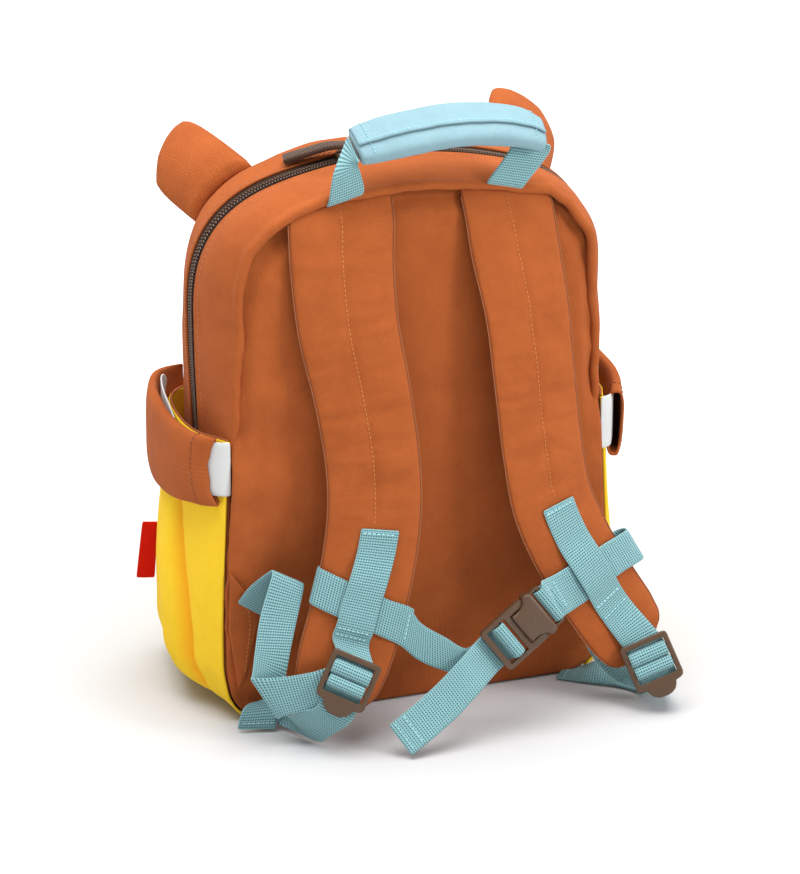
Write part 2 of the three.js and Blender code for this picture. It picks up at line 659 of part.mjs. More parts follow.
// Chest strap: looped round each strap; the left half runs through the adjuster to its free tail
function strapLoop(side, sign) {
  const frame = strapAt(side, CHEST_Z[side]);
  const { half } = frame;
  const slack = CHEST_SLACK[side];
  const high = STRAP_HALF_THICK + GAP + WEBBING_THICK / 2;
  const places = [
    { across: half + 5, out: -0.6 },
    { across: half + 0.5, out: -3 },
    { across: half * 0.6, out: -high },
    { across: -half * 0.6, out: -high },
    { across: -half + 1 - slack, out: -2.8 },
    { across: -half - slack, out: 0 },
    { across: -half + 1 - slack, out: 2.8 },
    { across: -half * 0.6, out: high },
    { across: half * 0.6, out: high },
    { across: half + 0.5, out: 3.6 },
    { across: half + 6, out: 2 },
  ];
  return places.map((r) => ({
    p: frame.at(sign * r.across, r.out)
      .addScaledVector(frame.along, (sign * CHEST_LEAN[side] * r.across) / half),
    across: frame.along.clone(),
  }));
}

const DOWN = V(0, 0, -1);
const buckleDown = BUCKLE.across.clone().negate();
const turned = (row) => ({ p: row.p, across: buckleDown });
const leftChest = [
  ...strapLoop("left", 1),
  { p: V(-14, -93.5, 51.5), across: DOWN },
  { p: V(-1, -98, 46.5), across: DOWN },
  ...[[-9, -5.6], [0, -4.8], [8, -4.6], [11.4, -4.2], [12.9, -2.4], [13, 0.8], [12.2, 2.8], [9.8, 3.4],
    [7.2, 2.5], [6.3, 0], [5, -2.4], [2.4, -3.2], [-1, -3.1], [-6, -2.2]].map(([a, h]) => turned(BUCKLE.at(a, h))),
  { p: V(4, -109, 36), across: V(0.48, -0.35, -0.8) },
  { p: V(-10, -112, 25.5), across: V(0.46, -0.45, -0.76) },
  { p: V(-24, -114, 16.5), across: V(0.44, -0.54, -0.72) },
  { p: V(-36, -115, 9.2), across: V(0.43, -0.59, -0.68) },
];
piece("chest_strap_left", band(leftChest, WEBBING, WEBBING_THICK), TEAL);

const rightChest = [
  ...strapLoop("right", -1),
  ...[[50, 2.4], [44, 2.1], [41, 2.6], [38.8, 2.7], [36.8, 2.2], [35.6, 0], [36.8, -2.2], [38.8, -2.7],
    [41, -2.4], [46, -1.4]].map(([a, h]) => turned(BUCKLE.at(a, h))),
];
piece("chest_strap_right", band(rightChest, WEBBING, WEBBING_THICK), TEAL);

// Corner wings: folded cloth on the lower corners of the back panel
const WING = [
  { seam: { x: 106.4, z: 87 }, edge: { x: 95, z: 71 } },
  { seam: { x: 107.4, z: 55 }, edge: { x: 91.5, z: 58 } },
  { seam: { x: 103, z: 20 }, edge: { x: 99, z: 26 } },
];
const WING_THICK = 3;
for (const [side, sign] of [["left", -1], ["right", 1]]) {
  const face = (lift) => (s, t) => {
    const j = Math.min(Math.floor(t * 2), 1);
    const mix = (edge, axis) => THREE.MathUtils.lerp(WING[j][edge][axis], WING[j + 1][edge][axis], t * 2 - j);
    const x = THREE.MathUtils.lerp(mix("seam", "x"), mix("edge", "x"), s);
    const z = THREE.MathUtils.lerp(mix("seam", "z"), mix("edge", "z"), s);
    return V(sign * x, backFaceY(x, z) - lift, z);
  };
  piece(`corner_wing_${side}`, wall(3, 6, face(GAP + WING_THICK), face(GAP)), BROWN);
}

// Lower webbing: from the wing through the ladder lock to its tail on the floor
const lockPass = [[24, -6.4], [18, -5], [14.6, -3.6], [13.9, -1.6], [13.9, 1.4], [14.9, 2.4], [16.5, 2.5], [18.1, 2.4],
  [19, 1.2], [19.4, -1.2], [21.4, -2.6], [26, -3], [32, -3.2]];
const leftLower = [
  { p: V(-95.4, -52.5, 65.5), across: V(0.82, 0, -0.57) },
  { p: V(-90, -59, 77), across: V(0.85, 0, -0.53) },
  { p: V(-81.8, -66, 87), across: V(0.86, 0, -0.5) },
  { p: V(-80.4, -67.8, 88.6), across: V(0.86, 0, -0.5) },
  { p: V(-81, -69.6, 87.2), across: V(0.86, 0, -0.5) },
  { p: V(-87, -74, 67), across: V(0.96, -0.1, -0.25) },
  { p: V(-94, -78, 47), across: V(0.98, 0, -0.15) },
  { p: V(-95.5, -82, 33), across: V(0.9, -0.15, -0.4) },
  { p: V(-88, -88, 28), across: V(0.6, -0.3, -0.7) },
  { p: V(-76, -93, 29), across: V(0.6, -0.4, -0.6) },
  ...lockPass.map(([a, h]) => LOCKS.left.at(a, h)),
  { p: V(-66.5, -91, 14.5), across: V(0.5, -0.25, -0.8) },
  { p: V(-69.5, -81, 11.6), across: V(0.15, -0.25, -0.96) },
  { p: V(-77, -74, 10.6), across: V(0.05, -0.25, -0.97) },
  { p: V(-85.5, -67.5, 10.8), across: V(0.2, -0.4, -0.9) },
  { p: V(-91, -61, 12), across: V(0.6, -0.5, -0.6) },
  { p: V(-92, -55.5, 10.5), across: V(0.8, -0.5, -0.25) },
  { p: V(-92, -54.4, 5), across: V(0.84, -0.54, 0) },
  { p: V(-93.6, -57, 1.3), across: V(0.84, -0.54, 0) },
  { p: V(-95.8, -60.4, 1), across: V(0.84, -0.54, 0) },
];
piece("lower_webbing_left", band(leftLower, WEBBING, WEBBING_THICK), TEAL);
const rightLower = [
  { p: V(95.4, -52.5, 64.5), across: V(0.82, 0, 0.57) },
  { p: V(94, -60, 48), across: V(0.85, 0, 0.53) },
  { p: V(97, -70, 28), across: V(0.9, -0.1, 0.4) },
  { p: V(104, -82, 15.5), across: V(0.85, 0.3, 0.3) },
  { p: V(110, -92, 13), across: V(0.88, 0.2, 0.35) },
  ...lockPass.slice(0, -1).map(([a, h]) => LOCKS.right.at(a, h)),
  { p: V(116.5, -106.5, 9.8), across: V(0.88, 0.1, 0.3) },
  { p: V(113.5, -97, 6.2), across: V(0.89, 0.35, 0.1) },
  { p: V(107.5, -86.5, 6.8), across: V(0.75, 0.5, 0.4) },
  { p: V(99, -76, 9.8), across: V(0.3, 0.25, 0.9) },
  { p: V(89, -66, 10.8), across: V(0.1, 0.05, 0.98) },
  { p: V(79, -57, 10.9), across: V(0.05, 0.05, 0.99) },
];
piece("lower_webbing_right", band(rightLower, WEBBING, WEBBING_THICK), TEAL);

// Carry handle: padded grip on two webbing ends sewn into the back seam
const GRIP = [
  { x: -36, y: -50, z: 308.5 },
  { x: -24, y: -50.5, z: 311 },
  { x: -4, y: -51, z: 314 },
  { x: 18, y: -51, z: 315.5 },
  { x: 38, y: -51, z: 314 },
  { x: 54, y: -50.5, z: 310.5 },
  { x: 64, y: -50, z: 306 },
];
const GRIP_HALF_WIDTH = 13;
const GRIP_HALF_THICK = 5;
const gripRoute = GRIP.map((r) => ({ p: V(r.x, r.y, r.z), across: V(0, 0.87, 0.5) }));
const gripSection = roundedSection(10, 0.55);
piece("handle_grip", loft(routeFrames(gripRoute, 2).map((f, k, all) => {
  const full = 1 - 0.18 * Math.abs((2 * k) / (all.length - 1) - 1) ** 6;
  return gripSection.map((c) => f.centre.clone()
    .addScaledVector(f.across, c.across * GRIP_HALF_WIDTH * full)
    .addScaledVector(f.out, c.out * GRIP_HALF_THICK * full));
})), BLUE);
const HANDLE_WEBBING = {
  left: [
    { p: V(-41.5, -45.4, 281), across: V(1, 0, 0.22) },
    { p: V(-42, -45.8, 286), across: V(1, 0, 0.2) },
    { p: V(-42.5, -47.5, 295), across: V(0.75, -0.6, -0.2) },
    { p: V(-41, -49.4, 303), across: V(0.1, -0.86, -0.5) },
    { p: V(-37.8, -50, 307.4), across: V(0, -0.87, -0.5) },
  ],
  right: [
    { p: V(45, -45.4, 280.3), across: V(1, 0, -0.24) },
    { p: V(45.8, -45.6, 283.3), across: V(1, 0, -0.24) },
    { p: V(50, -46.4, 288), across: V(1, 0, -0.4) },
    { p: V(59, -48, 295), across: V(0.5, -0.7, -0.4) },
    { p: V(66.5, -49.6, 301), across: V(0.1, -0.86, -0.5) },
    { p: V(67.5, -50, 303.6), across: V(0, -0.87, -0.5) },
    { p: V(65.2, -50, 305.3), across: V(0, -0.87, -0.5) },
  ],
};
for (const side of ["left", "right"]) {
  piece(`handle_webbing_${side}`, band(HANDLE_WEBBING[side], WEBBING, WEBBING_THICK, 3), TEAL);
}

// Arms: hollow cloth sleeves standing off the sides, with elastic from the back seam inside
const ARM = [
  { x: 116, y: 47, bottom: 124, top: 166, half: 2.6 },
  { x: 120.8, y: 38, bottom: 121, top: 169, half: 3.8 },
  { x: 124.6, y: 22, bottom: 118, top: 170, half: 4.2 },
  { x: 125.4, y: 4, bottom: 118, top: 168, half: 4.2 },
  { x: 124.2, y: -13, bottom: 119, top: 165, half: 4.2 },
  { x: 119.8, y: -28, bottom: 121, top: 162, half: 4 },
  { x: 114.6, y: -39, bottom: 122, top: 160, half: 4 },
];
const ARM_ELASTIC = [
  { x: 107.4, y: -44.6 },
  { x: 111, y: -42.2 },
  { x: 114.9, y: -38.4 },
  { x: 119.6, y: -28 },
  { x: 124.1, y: -13 },
  { x: 125.2, y: 2 },
];
const ELASTIC_HEIGHT = 30;
const ELASTIC_THICK = 0.9;
const armSection = roundedSection(10, 0.6);
for (const [side, sign] of [["left", -1], ["right", 1]]) {
  const route = ARM.map((r) => ({ p: V(sign * r.x, r.y, (r.bottom + r.top) / 2), across: V(0, 0, 1) }));
  const frames = routeFrames(route, 2);
  const ring = (thin) => frames.map((f, k) => {
    const row = Math.min(Math.floor(k / 2), ARM.length - 2);
    const mix = (read) => THREE.MathUtils.lerp(read(ARM[row]), read(ARM[row + 1]), k / 2 - row);
    const tall = mix((r) => (r.top - r.bottom) / 2) - thin;
    const deep = mix((r) => r.half) - thin;
    const start = f.centre.clone().addScaledVector(f.along, k === 0 ? thin : 0);
    return armSection.map((c) => start.clone()
      .addScaledVector(f.across, c.across * tall)
      .addScaledVector(f.out, c.out * deep));
  });
  piece(`arm_${side}`, sleeve(ring(0), ring(CLOTH)), BROWN);
  const elastic = ARM_ELASTIC.map((r) => ({ p: V(sign * r.x, r.y, 143), across: V(0, 0, 1) }));
  piece(`arm_elastic_${side}`, band(elastic, ELASTIC_HEIGHT, ELASTIC_THICK), ELASTIC);
}

// Zip slider on the coil and its webbing pull lying towards the left
const SLIDER_SHARE = 0.466;
const zipMiddle = (ZIP_REAR_Y + ZIP_FRONT_Y) / 2;
{
  const seat = bagPoint(SLIDER_SHARE, zipMiddle, 2.3);
  const heading = bagPoint(SLIDER_SHARE + 0.01, zipMiddle).sub(bagPoint(SLIDER_SHARE - 0.01, zipMiddle));
  const angle = Math.atan2(heading.z, heading.x);
  piece("zip_slider", new THREE.BoxGeometry(11, 7, 3.4).rotateY(-angle).translate(seat.x, seat.y, seat.z), PLASTIC);
  const pull = [
    { share: 0.4565, y: -6, lift: 2.6 },
    { share: 0.447, y: -3, lift: 2.5 },
    { share: 0.433, y: 1, lift: 2.4 },
    { share: 0.419, y: 5, lift: 2.5 },
  ];
  piece("zip_pull", band(pull.map((r) => ({ p: bagPoint(r.share, r.y, r.lift), across: V(0, 1, 0) })), 9, 3), ZIP_BROWN);
}

// Side tag: small folded cloth tag at the left front, bare
const TAG_HEIGHT = 33;
piece("side_tag", band([
  { p: V(-119, 46.2, 66), across: V(0.12, 0, 1) },
  { p: V(-124, 46.5, 66.4), across: V(0.14, 0, 1) },
  { p: V(-128.5, 46.9, 67), across: V(0.16, 0, 1) },
], TAG_HEIGHT, 1.2), RED);

export default backpack;
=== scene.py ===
import math

import bpy
import numpy as np
from mathutils import Matrix, Vector, noise


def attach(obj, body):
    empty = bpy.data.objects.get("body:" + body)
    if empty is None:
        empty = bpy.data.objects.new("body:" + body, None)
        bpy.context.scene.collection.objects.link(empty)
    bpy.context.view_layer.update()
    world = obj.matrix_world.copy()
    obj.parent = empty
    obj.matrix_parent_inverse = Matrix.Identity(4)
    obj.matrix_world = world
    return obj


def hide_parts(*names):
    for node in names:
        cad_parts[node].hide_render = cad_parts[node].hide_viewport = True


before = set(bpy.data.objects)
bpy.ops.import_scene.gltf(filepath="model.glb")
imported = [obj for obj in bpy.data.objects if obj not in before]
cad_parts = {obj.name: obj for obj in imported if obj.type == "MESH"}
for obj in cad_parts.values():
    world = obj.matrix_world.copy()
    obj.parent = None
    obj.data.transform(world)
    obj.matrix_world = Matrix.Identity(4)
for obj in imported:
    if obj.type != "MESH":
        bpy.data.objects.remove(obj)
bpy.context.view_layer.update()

# The place where the bag stands: a pale floor that runs into a white room, with broad soft lamps
# over it, seen from the harness side, a little from the left and from above.
bpy.ops.object.select_all(action="DESELECT")
bpy.context.scene.view_settings.view_transform = "Standard"
bpy.ops.object.camera_add(
    location=(-0.56203, -1.56002, 0.73579),
    rotation=(math.radians(70), 0, math.radians(-20)),
)
camera = bpy.context.object
camera.data.lens = 135
camera.data.sensor_width = 36
bpy.context.scene.camera = camera


def set_inputs(node, values):
    for key, value in values.items():
        node.inputs[key].default_value = value


def new_material(name, values):
    """A material, its shader with some inputs set, and the function that links its nodes."""
    material = bpy.data.materials.new(name)
    material.use_nodes = True
    shader = material.node_tree.nodes["Principled BSDF"]
    set_inputs(shader, values)
    return material, shader, material.node_tree.links.new


def add_node(material, kind, values=None):
    """One more node of a material, with some of its inputs set."""
    node = material.node_tree.nodes.new("ShaderNode" + kind)
    set_inputs(node, values or {})
    return node


FLOOR_SIZE = 12
bpy.ops.mesh.primitive_plane_add(size=FLOOR_SIZE, location=(0, 0, -0.0002))
floor = bpy.context.object
floor.name = "studio_floor"
floor_look = {"Base Color": (0.54, 0.54, 0.545, 1), "Roughness": 0.9, "Emission Color": (1, 1, 1, 1)}
floor_paint, floor_shader, floor_link = new_material("floor_paint", floor_look)
floor_place = add_node(floor_paint, "TexCoord")
floor_reach = add_node(floor_paint, "VectorMath")
floor_reach.operation = "LENGTH"
floor_glow = add_node(floor_paint, "MapRange", {"From Min": 0.19, "From Max": 0.5, "To Max": 0.6})
floor_glow.interpolation_type = "SMOOTHSTEP"
floor_link(floor_place.outputs["Object"], floor_reach.inputs[0])
floor_link(floor_reach.outputs["Value"], floor_glow.inputs["Value"])
floor_link(floor_glow.outputs["Result"], floor_shader.inputs["Emission Strength"])
floor.data.materials.append(floor_paint)

room = bpy.data.worlds.new("white_room")
room.use_nodes = True
set_inputs(room.node_tree.nodes["Background"], {"Color": (1, 1, 1, 1), "Strength": 0.53})
bpy.context.scene.world = room

STUDIO_LAMPS = [
    {"name": "top_lamp", "place": (-0.12, 0.05, 2.2), "size": 2.3, "watts": 96},
    {"name": "side_lamp", "place": (1.3, -1.5, 1.1), "size": 0.6, "watts": 20},
]
LAMP_AIM = Vector((0, 0, 0.15))
for row in STUDIO_LAMPS:
    bpy.ops.object.light_add(type="AREA", location=row["place"])
    lamp = bpy.context.object
    lamp.name = row["name"]
    lamp.data.size = row["size"]
    lamp.data.energy = row["watts"]
    lamp.rotation_euler = (LAMP_AIM - lamp.location).to_track_quat("-Z", "Y").to_euler()

# Back panel: brown woven cloth over thin foam, cut to the arch of the bag and sewn round its rim into
# the gusset, so that it swells a little towards the wearer and puckers along the seam.
MM = 0.001
BACK_Y = -43.5
FRONT_Y = 30.5
PANEL_RIM = 2
BACK_DOME = 8
FRONT_DOME = 11
BOTTOM_HALF = 81
SEAM_CURVES = [
    [(-BOTTOM_HALF, 0), (-108, 0), (-108, 36)],
    [(-108, 36), (-108, 90), (-100, 180), (-99, 214)],
    [(-99, 214), (-99, 256), (-87, 269), (-50, 278)],
    [(-50, 278), (-25, 284), (0, 284)],
]
# Points of a smooth line between two rows of its table
ROW_STEPS = 24
# How far the cloth stands out of the seam line between back seam (0) and front seam (1)
BULGE_DEPTH = [0, 0.08, 0.2, 0.35, 0.5, 0.65, 0.8, 0.92, 1]
BULGE_SIDE = [0, 3.2, 7.4, 10.8, 12.8, 12.4, 10, 6, 3.2]
BULGE_TOP = [0, 2.4, 5.4, 7.8, 9.4, 11.6, 12.6, 10.4, 7]
BULGE_HEIGHT = [0, 40, 110, 165, 200, 290]
BULGE_SHARE = [0, 0.2, 0.3, 0.75, 1, 1]


def smooth_step(value, low, high):
    share = min(1, max(0, (value - low) / (high - low)))
    return share * share * (3 - 2 * share)


def eased(places, values):
    """A column of a table on a smooth curve through its rows, for np.interp."""
    slopes = np.gradient(np.array(values, float), np.array(places, float))
    run, curve = [], []
    for k in range(len(places) - 1):
        span = places[k + 1] - places[k]
        t = np.linspace(0, 1, ROW_STEPS, endpoint=False)
        run.append(places[k] + span * t)
        start = values[k] * (1 + 2 * t) * (1 - t) ** 2 + slopes[k] * span * t * (1 - t) ** 2
        curve.append(start + values[k + 1] * t * t * (3 - 2 * t) + slopes[k + 1] * span * t * t * (t - 1))
    return np.append(np.concatenate(run), places[-1]), np.append(np.concatenate(curve), values[-1])


def running(line):
    """Running length along the points of a line."""
    return np.concatenate([[0], np.cumsum(np.linalg.norm(np.diff(line, axis=0), axis=1))])


def along_line(distance, run, line):
    """The place on a line, or a row of a table, at a running length."""
    return np.array([np.interp(distance, run, column) for column in line.T])


def bezier(points, count=80):
    t = np.linspace(0, 1, count)[:, None]
    level = [np.array(p, float) for p in points]
    while len(level) > 1:
        level = [a + (b - a) * t for a, b in zip(level, level[1:])]
    return level[0]


left_seam = np.vstack([bezier(curve)[:-1] for curve in SEAM_CURVES] + [[(0, 284)]])
seam = np.vstack([left_seam, (left_seam * (-1, 1))[-2::-1]])
seam_run = running(seam)
SEAM_LENGTH = seam_run[-1]
seam_share = seam_run / SEAM_LENGTH
bulge_side = eased(BULGE_DEPTH, BULGE_SIDE)
bulge_top = eased(BULGE_DEPTH, BULGE_TOP)
bulge_share = eased(BULGE_HEIGHT, BULGE_SHARE)


def share_at(z):
    return float(np.interp(z, left_seam[:, 1], seam_share[: len(left_seam)]))


def seam_at(u):
    return along_line(u, seam_share, seam)


def bag_point(u, y, offset=0.0):
    """Outer cloth of the bag in millimetres: share along the seam line, depth, and offset out of it."""
    x, z = seam_at(u)
    heading = seam_at(min(u + 0.004, 1)) - seam_at(max(u - 0.004, 0))
    heading /= np.linalg.norm(heading)
    depth = min(1, max(0, (y - BACK_Y) / (FRONT_Y - BACK_Y)))
    top = smooth_step(z, 236, 282)
    swell = np.interp(depth, *bulge_side) * (1 - top) + np.interp(depth, *bulge_top) * top
    out = np.interp(z, *bulge_share) * swell + offset
    return Vector((x - heading[1] * out, y, z + heading[0] * out))


def swelling(x, z, height):
    side = max(0, 1 - (x / 110) ** 2)
    rise = max(0, 1 - ((z - 142) / 146) ** 2)
    return height * (side * rise) ** 0.8


def crumple(place, size, amount):
    """Soft unevenness of cloth at a place, in millimetres."""
    return amount * noise.noise(Vector(place) / size)


def cloth_grid(name, columns, rows, place, size, held=None):
    """A sheet of cloth: place(s, t) gives each corner in millimetres; its UV map is in metres."""
    bpy.ops.object.select_all(action="DESELECT")
    bpy.ops.mesh.primitive_grid_add(x_subdivisions=columns, y_subdivisions=rows, size=1)
    piece = bpy.context.object
    piece.name = name
    piece.data.name = name
    shares = [(vertex.co.x + 0.5, vertex.co.y + 0.5) for vertex in piece.data.vertices]
    for vertex, (s, t) in zip(piece.data.vertices, shares):
        vertex.co = Vector(place(s, t)) * MM
    for corner in piece.data.uv_layers.active.data:
        corner.uv = (corner.uv[0] * size[0] * MM, corner.uv[1] * size[1] * MM)
    if held:
        seams = piece.vertex_groups.new(name="seams")
        seams.add([k for k, (s, t) in enumerate(shares) if held(s, t)], 1, "REPLACE")
    return piece


def select_only(*pieces):
    """Selects pieces for the operators that follow; the last one is the active one."""
    bpy.ops.object.select_all(action="DESELECT")
    for piece in pieces:
        piece.select_set(True)
    bpy.context.view_layer.objects.active = pieces[-1]


def apply_all(piece):
    select_only(piece)
    for modifier in list(piece.modifiers):
        bpy.ops.object.modifier_apply(modifier=modifier.name)


def face_away(piece, inside):
    """Turns the sheet so that its faces look away from a point inside, in millimetres."""
    middle = Vector(inside) * MM
    looks = sum((f.center - middle).normalized().dot(f.normal) * f.area for f in piece.data.polygons)
    if looks < 0:
        piece.data.flip_normals()


def thicken(piece, thickness, offset=-1, rounds=0):
    """Gives a sheet its thickness in millimetres, and rounds its edges by subdivision."""
    wall = piece.modifiers.new("wall", "SOLIDIFY")
    wall.thickness = thickness * MM
    wall.offset = offset
    if rounds:
        soft = piece.modifiers.new("soft", "SUBSURF")
        soft.levels = rounds
        soft.render_levels = rounds
    apply_all(piece)


def dress(piece, material, slot, *nodes):
    """Material, smooth shading, and the CAD nodes that the piece stands for."""
    piece.data.materials.clear()
    piece.data.materials.append(material)
    piece.data.polygons.foreach_set("use_smooth", [True] * len(piece.data.polygons))
    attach(piece, "root")
    if nodes:
        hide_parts(*nodes)


def sheet(name, columns, rows, place, size, inside, thickness, material, slot, *nodes, rounds=0):
    """A sheet of cloth that faces away from a point inside, with its thickness and its material."""
    piece = cloth_grid(name, columns, rows, place, size)
    face_away(piece, inside)
    thicken(piece, thickness, rounds=rounds)
    dress(piece, material, slot, *nodes)
    return piece


def colour_mix(material, factor, values):
    """A node that mixes colours A and B by a factor."""
    mix = add_node(material, "Mix")
    mix.data_type = "RGBA"
    set_inputs(mix, values)
    material.node_tree.links.new(factor, mix.inputs["Factor"])
    return mix


def thread_wave(material, place, direction, pitch, values):
    """Waves in one direction over a place, a thread's pitch in millimetres apart."""
    wave = add_node(material, "TexWave", {"Scale": 2 * math.pi / (20 * pitch * MM), "Detail": 1, **values})
    wave.bands_direction = direction
    material.node_tree.links.new(place, wave.inputs["Vector"])
    return wave.outputs["Fac"]


def woven_cloth(name, colour, shade, thread=0.75, depth=0.45, painted_fold_shade=None):
    """Plain woven cloth: threads in the piece's own UV map, soft unevenness and a slight sheen.

    Where a piece carries the attribute fold, the cloth is painted towards the darker fold tone: painted shade
    for a fold."""
    look = {"Roughness": 0.9, "Sheen Weight": 0.02, "Sheen Roughness": 0.5, "Specular IOR Level": 0.12}
    material, shader, link = new_material(name, look)
    coordinates = add_node(material, "TexCoord").outputs
    weave = add_node(material, "Math")
    weave.operation = "MULTIPLY"
    for k, direction in enumerate("XY"):
        uneven = {"Distortion": 0.6, "Detail Scale": 0.4}
        link(thread_wave(material, coordinates["UV"], direction, thread, uneven), weave.inputs[k])
    patches = add_node(material, "TexNoise", {"Scale": 60, "Detail": 7, "Roughness": 0.72})
    link(coordinates["Object"], patches.inputs["Vector"])
    tone = add_node(material, "MapRange", {"From Min": 0.3, "From Max": 0.7, "To Min": 0, "To Max": 0.45})
    link(patches.outputs["Fac"], tone.inputs["Value"])
    threads = add_node(material, "Math", {1: 0.55})
    threads.operation = "MULTIPLY_ADD"
    link(weave.outputs[0], threads.inputs[0])
    link(tone.outputs["Result"], threads.inputs[2])
    paint = colour_mix(material, threads.outputs[0], {"A": (*shade, 1), "B": (*colour, 1)})
    # Painted shade: where the attribute fold is set, the colour is mixed towards the darker fold tone, for
    # the shade and bounce light in a fold.
    if painted_fold_shade:
        folds = add_node(material, "Attribute")
        folds.attribute_name = "fold"
        shaded_paint = colour_mix(material, folds.outputs["Fac"], {"B": (*painted_fold_shade, 1)})
        link(paint.outputs["Result"], shaded_paint.inputs["A"])
        paint = shaded_paint
    link(paint.outputs["Result"], shader.inputs["Base Color"])
    slub = add_node(material, "Bump", {"Strength": 0.12, "Distance": 0.002})
    link(patches.outputs["Fac"], slub.inputs["Height"])
    relief = add_node(material, "Bump", {"Strength": depth, "Distance": 0.0004})
    link(weave.outputs[0], relief.inputs["Height"])
    link(slub.outputs["Normal"], relief.inputs["Normal"])
    link(relief.outputs["Normal"], shader.inputs["Normal"])
    return material


brown_cloth = woven_cloth("brown_cloth", (0.457, 0.117, 0.0285), (0.307, 0.072, 0.0172))

# The rim of the two large panels as a closed line with four corners, for a grid without poles
PANEL_MIDDLE = np.array([0, 138])
LOW_CORNER = share_at(9)
HIGH_CORNER = share_at(258)


def panel_rim(y):
    """Closed rim: four runs of points, from the lower left corner over bottom, right, top and left."""
    def run(start, end):
        return [bag_point(u, y).xz for u in np.linspace(start, end, 60)]

    bottom = run(LOW_CORNER, 0) + [Vector((x, 0)) for x in np.linspace(-80, 80, 60)] + run(1, 1 - LOW_CORNER)
    right = run(1 - LOW_CORNER, 1 - HIGH_CORNER)
    top = run(1 - HIGH_CORNER, HIGH_CORNER)
    left = run(HIGH_CORNER, LOW_CORNER)
    sides = []
    for points in (bottom, right, top, left):
        line = np.array(points)
        run_to = running(line)
        sides.append((run_to / run_to[-1], line))
    return sides


def panel_place(sides, s, t):
    """Place on a panel in X and Z, and how far out it is from the middle (0) to the rim (1)."""
    a, b = 2 * s - 1, 2 * t - 1
    ring = max(abs(a), abs(b), 1e-6)
    if abs(b) >= abs(a):
        side, share = (0, (a / ring + 1) / 2) if b < 0 else (2, (1 - a / ring) / 2)
    else:
        side, share = (1, (b / ring + 1) / 2) if a > 0 else (3, (1 - b / ring) / 2)
    run, line = sides[side]
    return PANEL_MIDDLE + (along_line(share, run, line) - PANEL_MIDDLE) * ring, ring


back_sides = panel_rim(BACK_Y)
# How far the panel's edge lies back under the rolled gusset
EDGE_SINK = 4.6
# Folds that pull at the panel: middle, reach to the sides, height and lift
BACK_PULLS = [
    {"x": -96, "z": 176, "reach": 34, "height": 9, "lift": 1.6},
    {"x": -97, "z": 158, "reach": 30, "height": 6, "lift": -1.4},
    {"x": -99, "z": 128, "reach": 38, "height": 10, "lift": 1.2},
    {"x": -92, "z": 236, "reach": 30, "height": 8, "lift": 1.4},
    {"x": 94, "z": 190, "reach": 32, "height": 9, "lift": 1.2},
    {"x": 0, "z": 270, "reach": 26, "height": 14, "lift": 1.6},
]


def back_panel_place(s, t):
    (x, z), ring = panel_place(back_sides, s, t)
    y = BACK_Y - PANEL_RIM - swelling(x, z, BACK_DOME)
    y += EDGE_SINK * smooth_step(ring, 0.9, 0.97) * smooth_step(z, 140, 166)
    for pull in BACK_PULLS:
        along = (x - pull["x"]) / pull["reach"]
        across = (z - pull["z"] - 4 * math.sin(x / 17)) / pull["height"]
        y -= pull["lift"] * math.exp(-along * along - across * across)
    y += (crumple((x, 0, z), 38, 1.7) + crumple((x, 9, z * 0.8), 15, 0.6)) * min(1, 6 * (1 - ring))
    edge = math.exp(-(1 - ring) / 0.06) * min(1, (1 - ring) / 0.015)
    y += edge * crumple((x * 1.2, 5, z * 1.2), 11, 2.2)
    return x, y, max(z, 0.8)


back_panel = sheet(
    "back_panel_pad", 110, 120, back_panel_place, (210, 284), (0, 100, 140), 2.2,
    brown_cloth, "brown_cloth", "back_panel",
)

# Front panel and base: the same cloth. The front is domed and plain behind its pocket; the base is a
# flat bottom sewn between the two panels.
front_sides = panel_rim(FRONT_Y)


def front_panel_place(s, t):
    (x, z), ring = panel_place(front_sides, s, t)
    y = FRONT_Y + PANEL_RIM + swelling(x, z, FRONT_DOME)
    y -= (PANEL_RIM + 1.2) * max(0, (ring - 0.965) / 0.035) ** 2
    y += crumple((x, 40, z), 36, 1.3) * min(1, 6 * (1 - ring))
    return x, y, z


sheet(
    "front_panel_cloth", 80, 90, front_panel_place, (224, 290), (0, -100, 140), 1.8,
    brown_cloth, "brown_cloth", "front_panel",
)


def base_place(s, t):
    x = (2 * s - 1) * (BOTTOM_HALF - 0.3)
    y = BACK_Y + 0.4 + (FRONT_Y - BACK_Y - 0.8) * t
    return x, y, 0.1 + 0.4 * math.sin(math.pi * s) * math.sin(math.pi * t)


sheet(
    "base_panel_cloth", 40, 20, base_place, (162, 74), (0, -6, 100), 1.8,
    brown_cloth, "brown_cloth", "base_panel",
)

# Gusset: two strips of the brown cloth over the arch of the bag, folded back along the zip and top
# stitched there, and rolled over into the seams of the two panels.
ZIP_REAR_Y = -12.8
ZIP_FRONT_Y = -2.2
ZIP_END = share_at(150)
ARCH_LENGTH = SEAM_LENGTH * (1 - 2 * ZIP_END)
SEAM_ROLL = 7
ROLL = 2.6
ROLL_TURN = math.radians(200)
SEAM_HANG = 2.2
SEAM_HANG_TOP = 6
# How far the rolled rear edge stands out of the seam line, by its place across the bag
RIM_PLACE = [-99, -90, -72, -50, -30, 0, 30, 50, 70, 85, 99]
RIM_RISE = [1.5, 4.5, 6.5, 6, 4.6, 3.6, 3.2, 4.6, 6, 4, 1.5]
ZIP_FOLD = 2.2


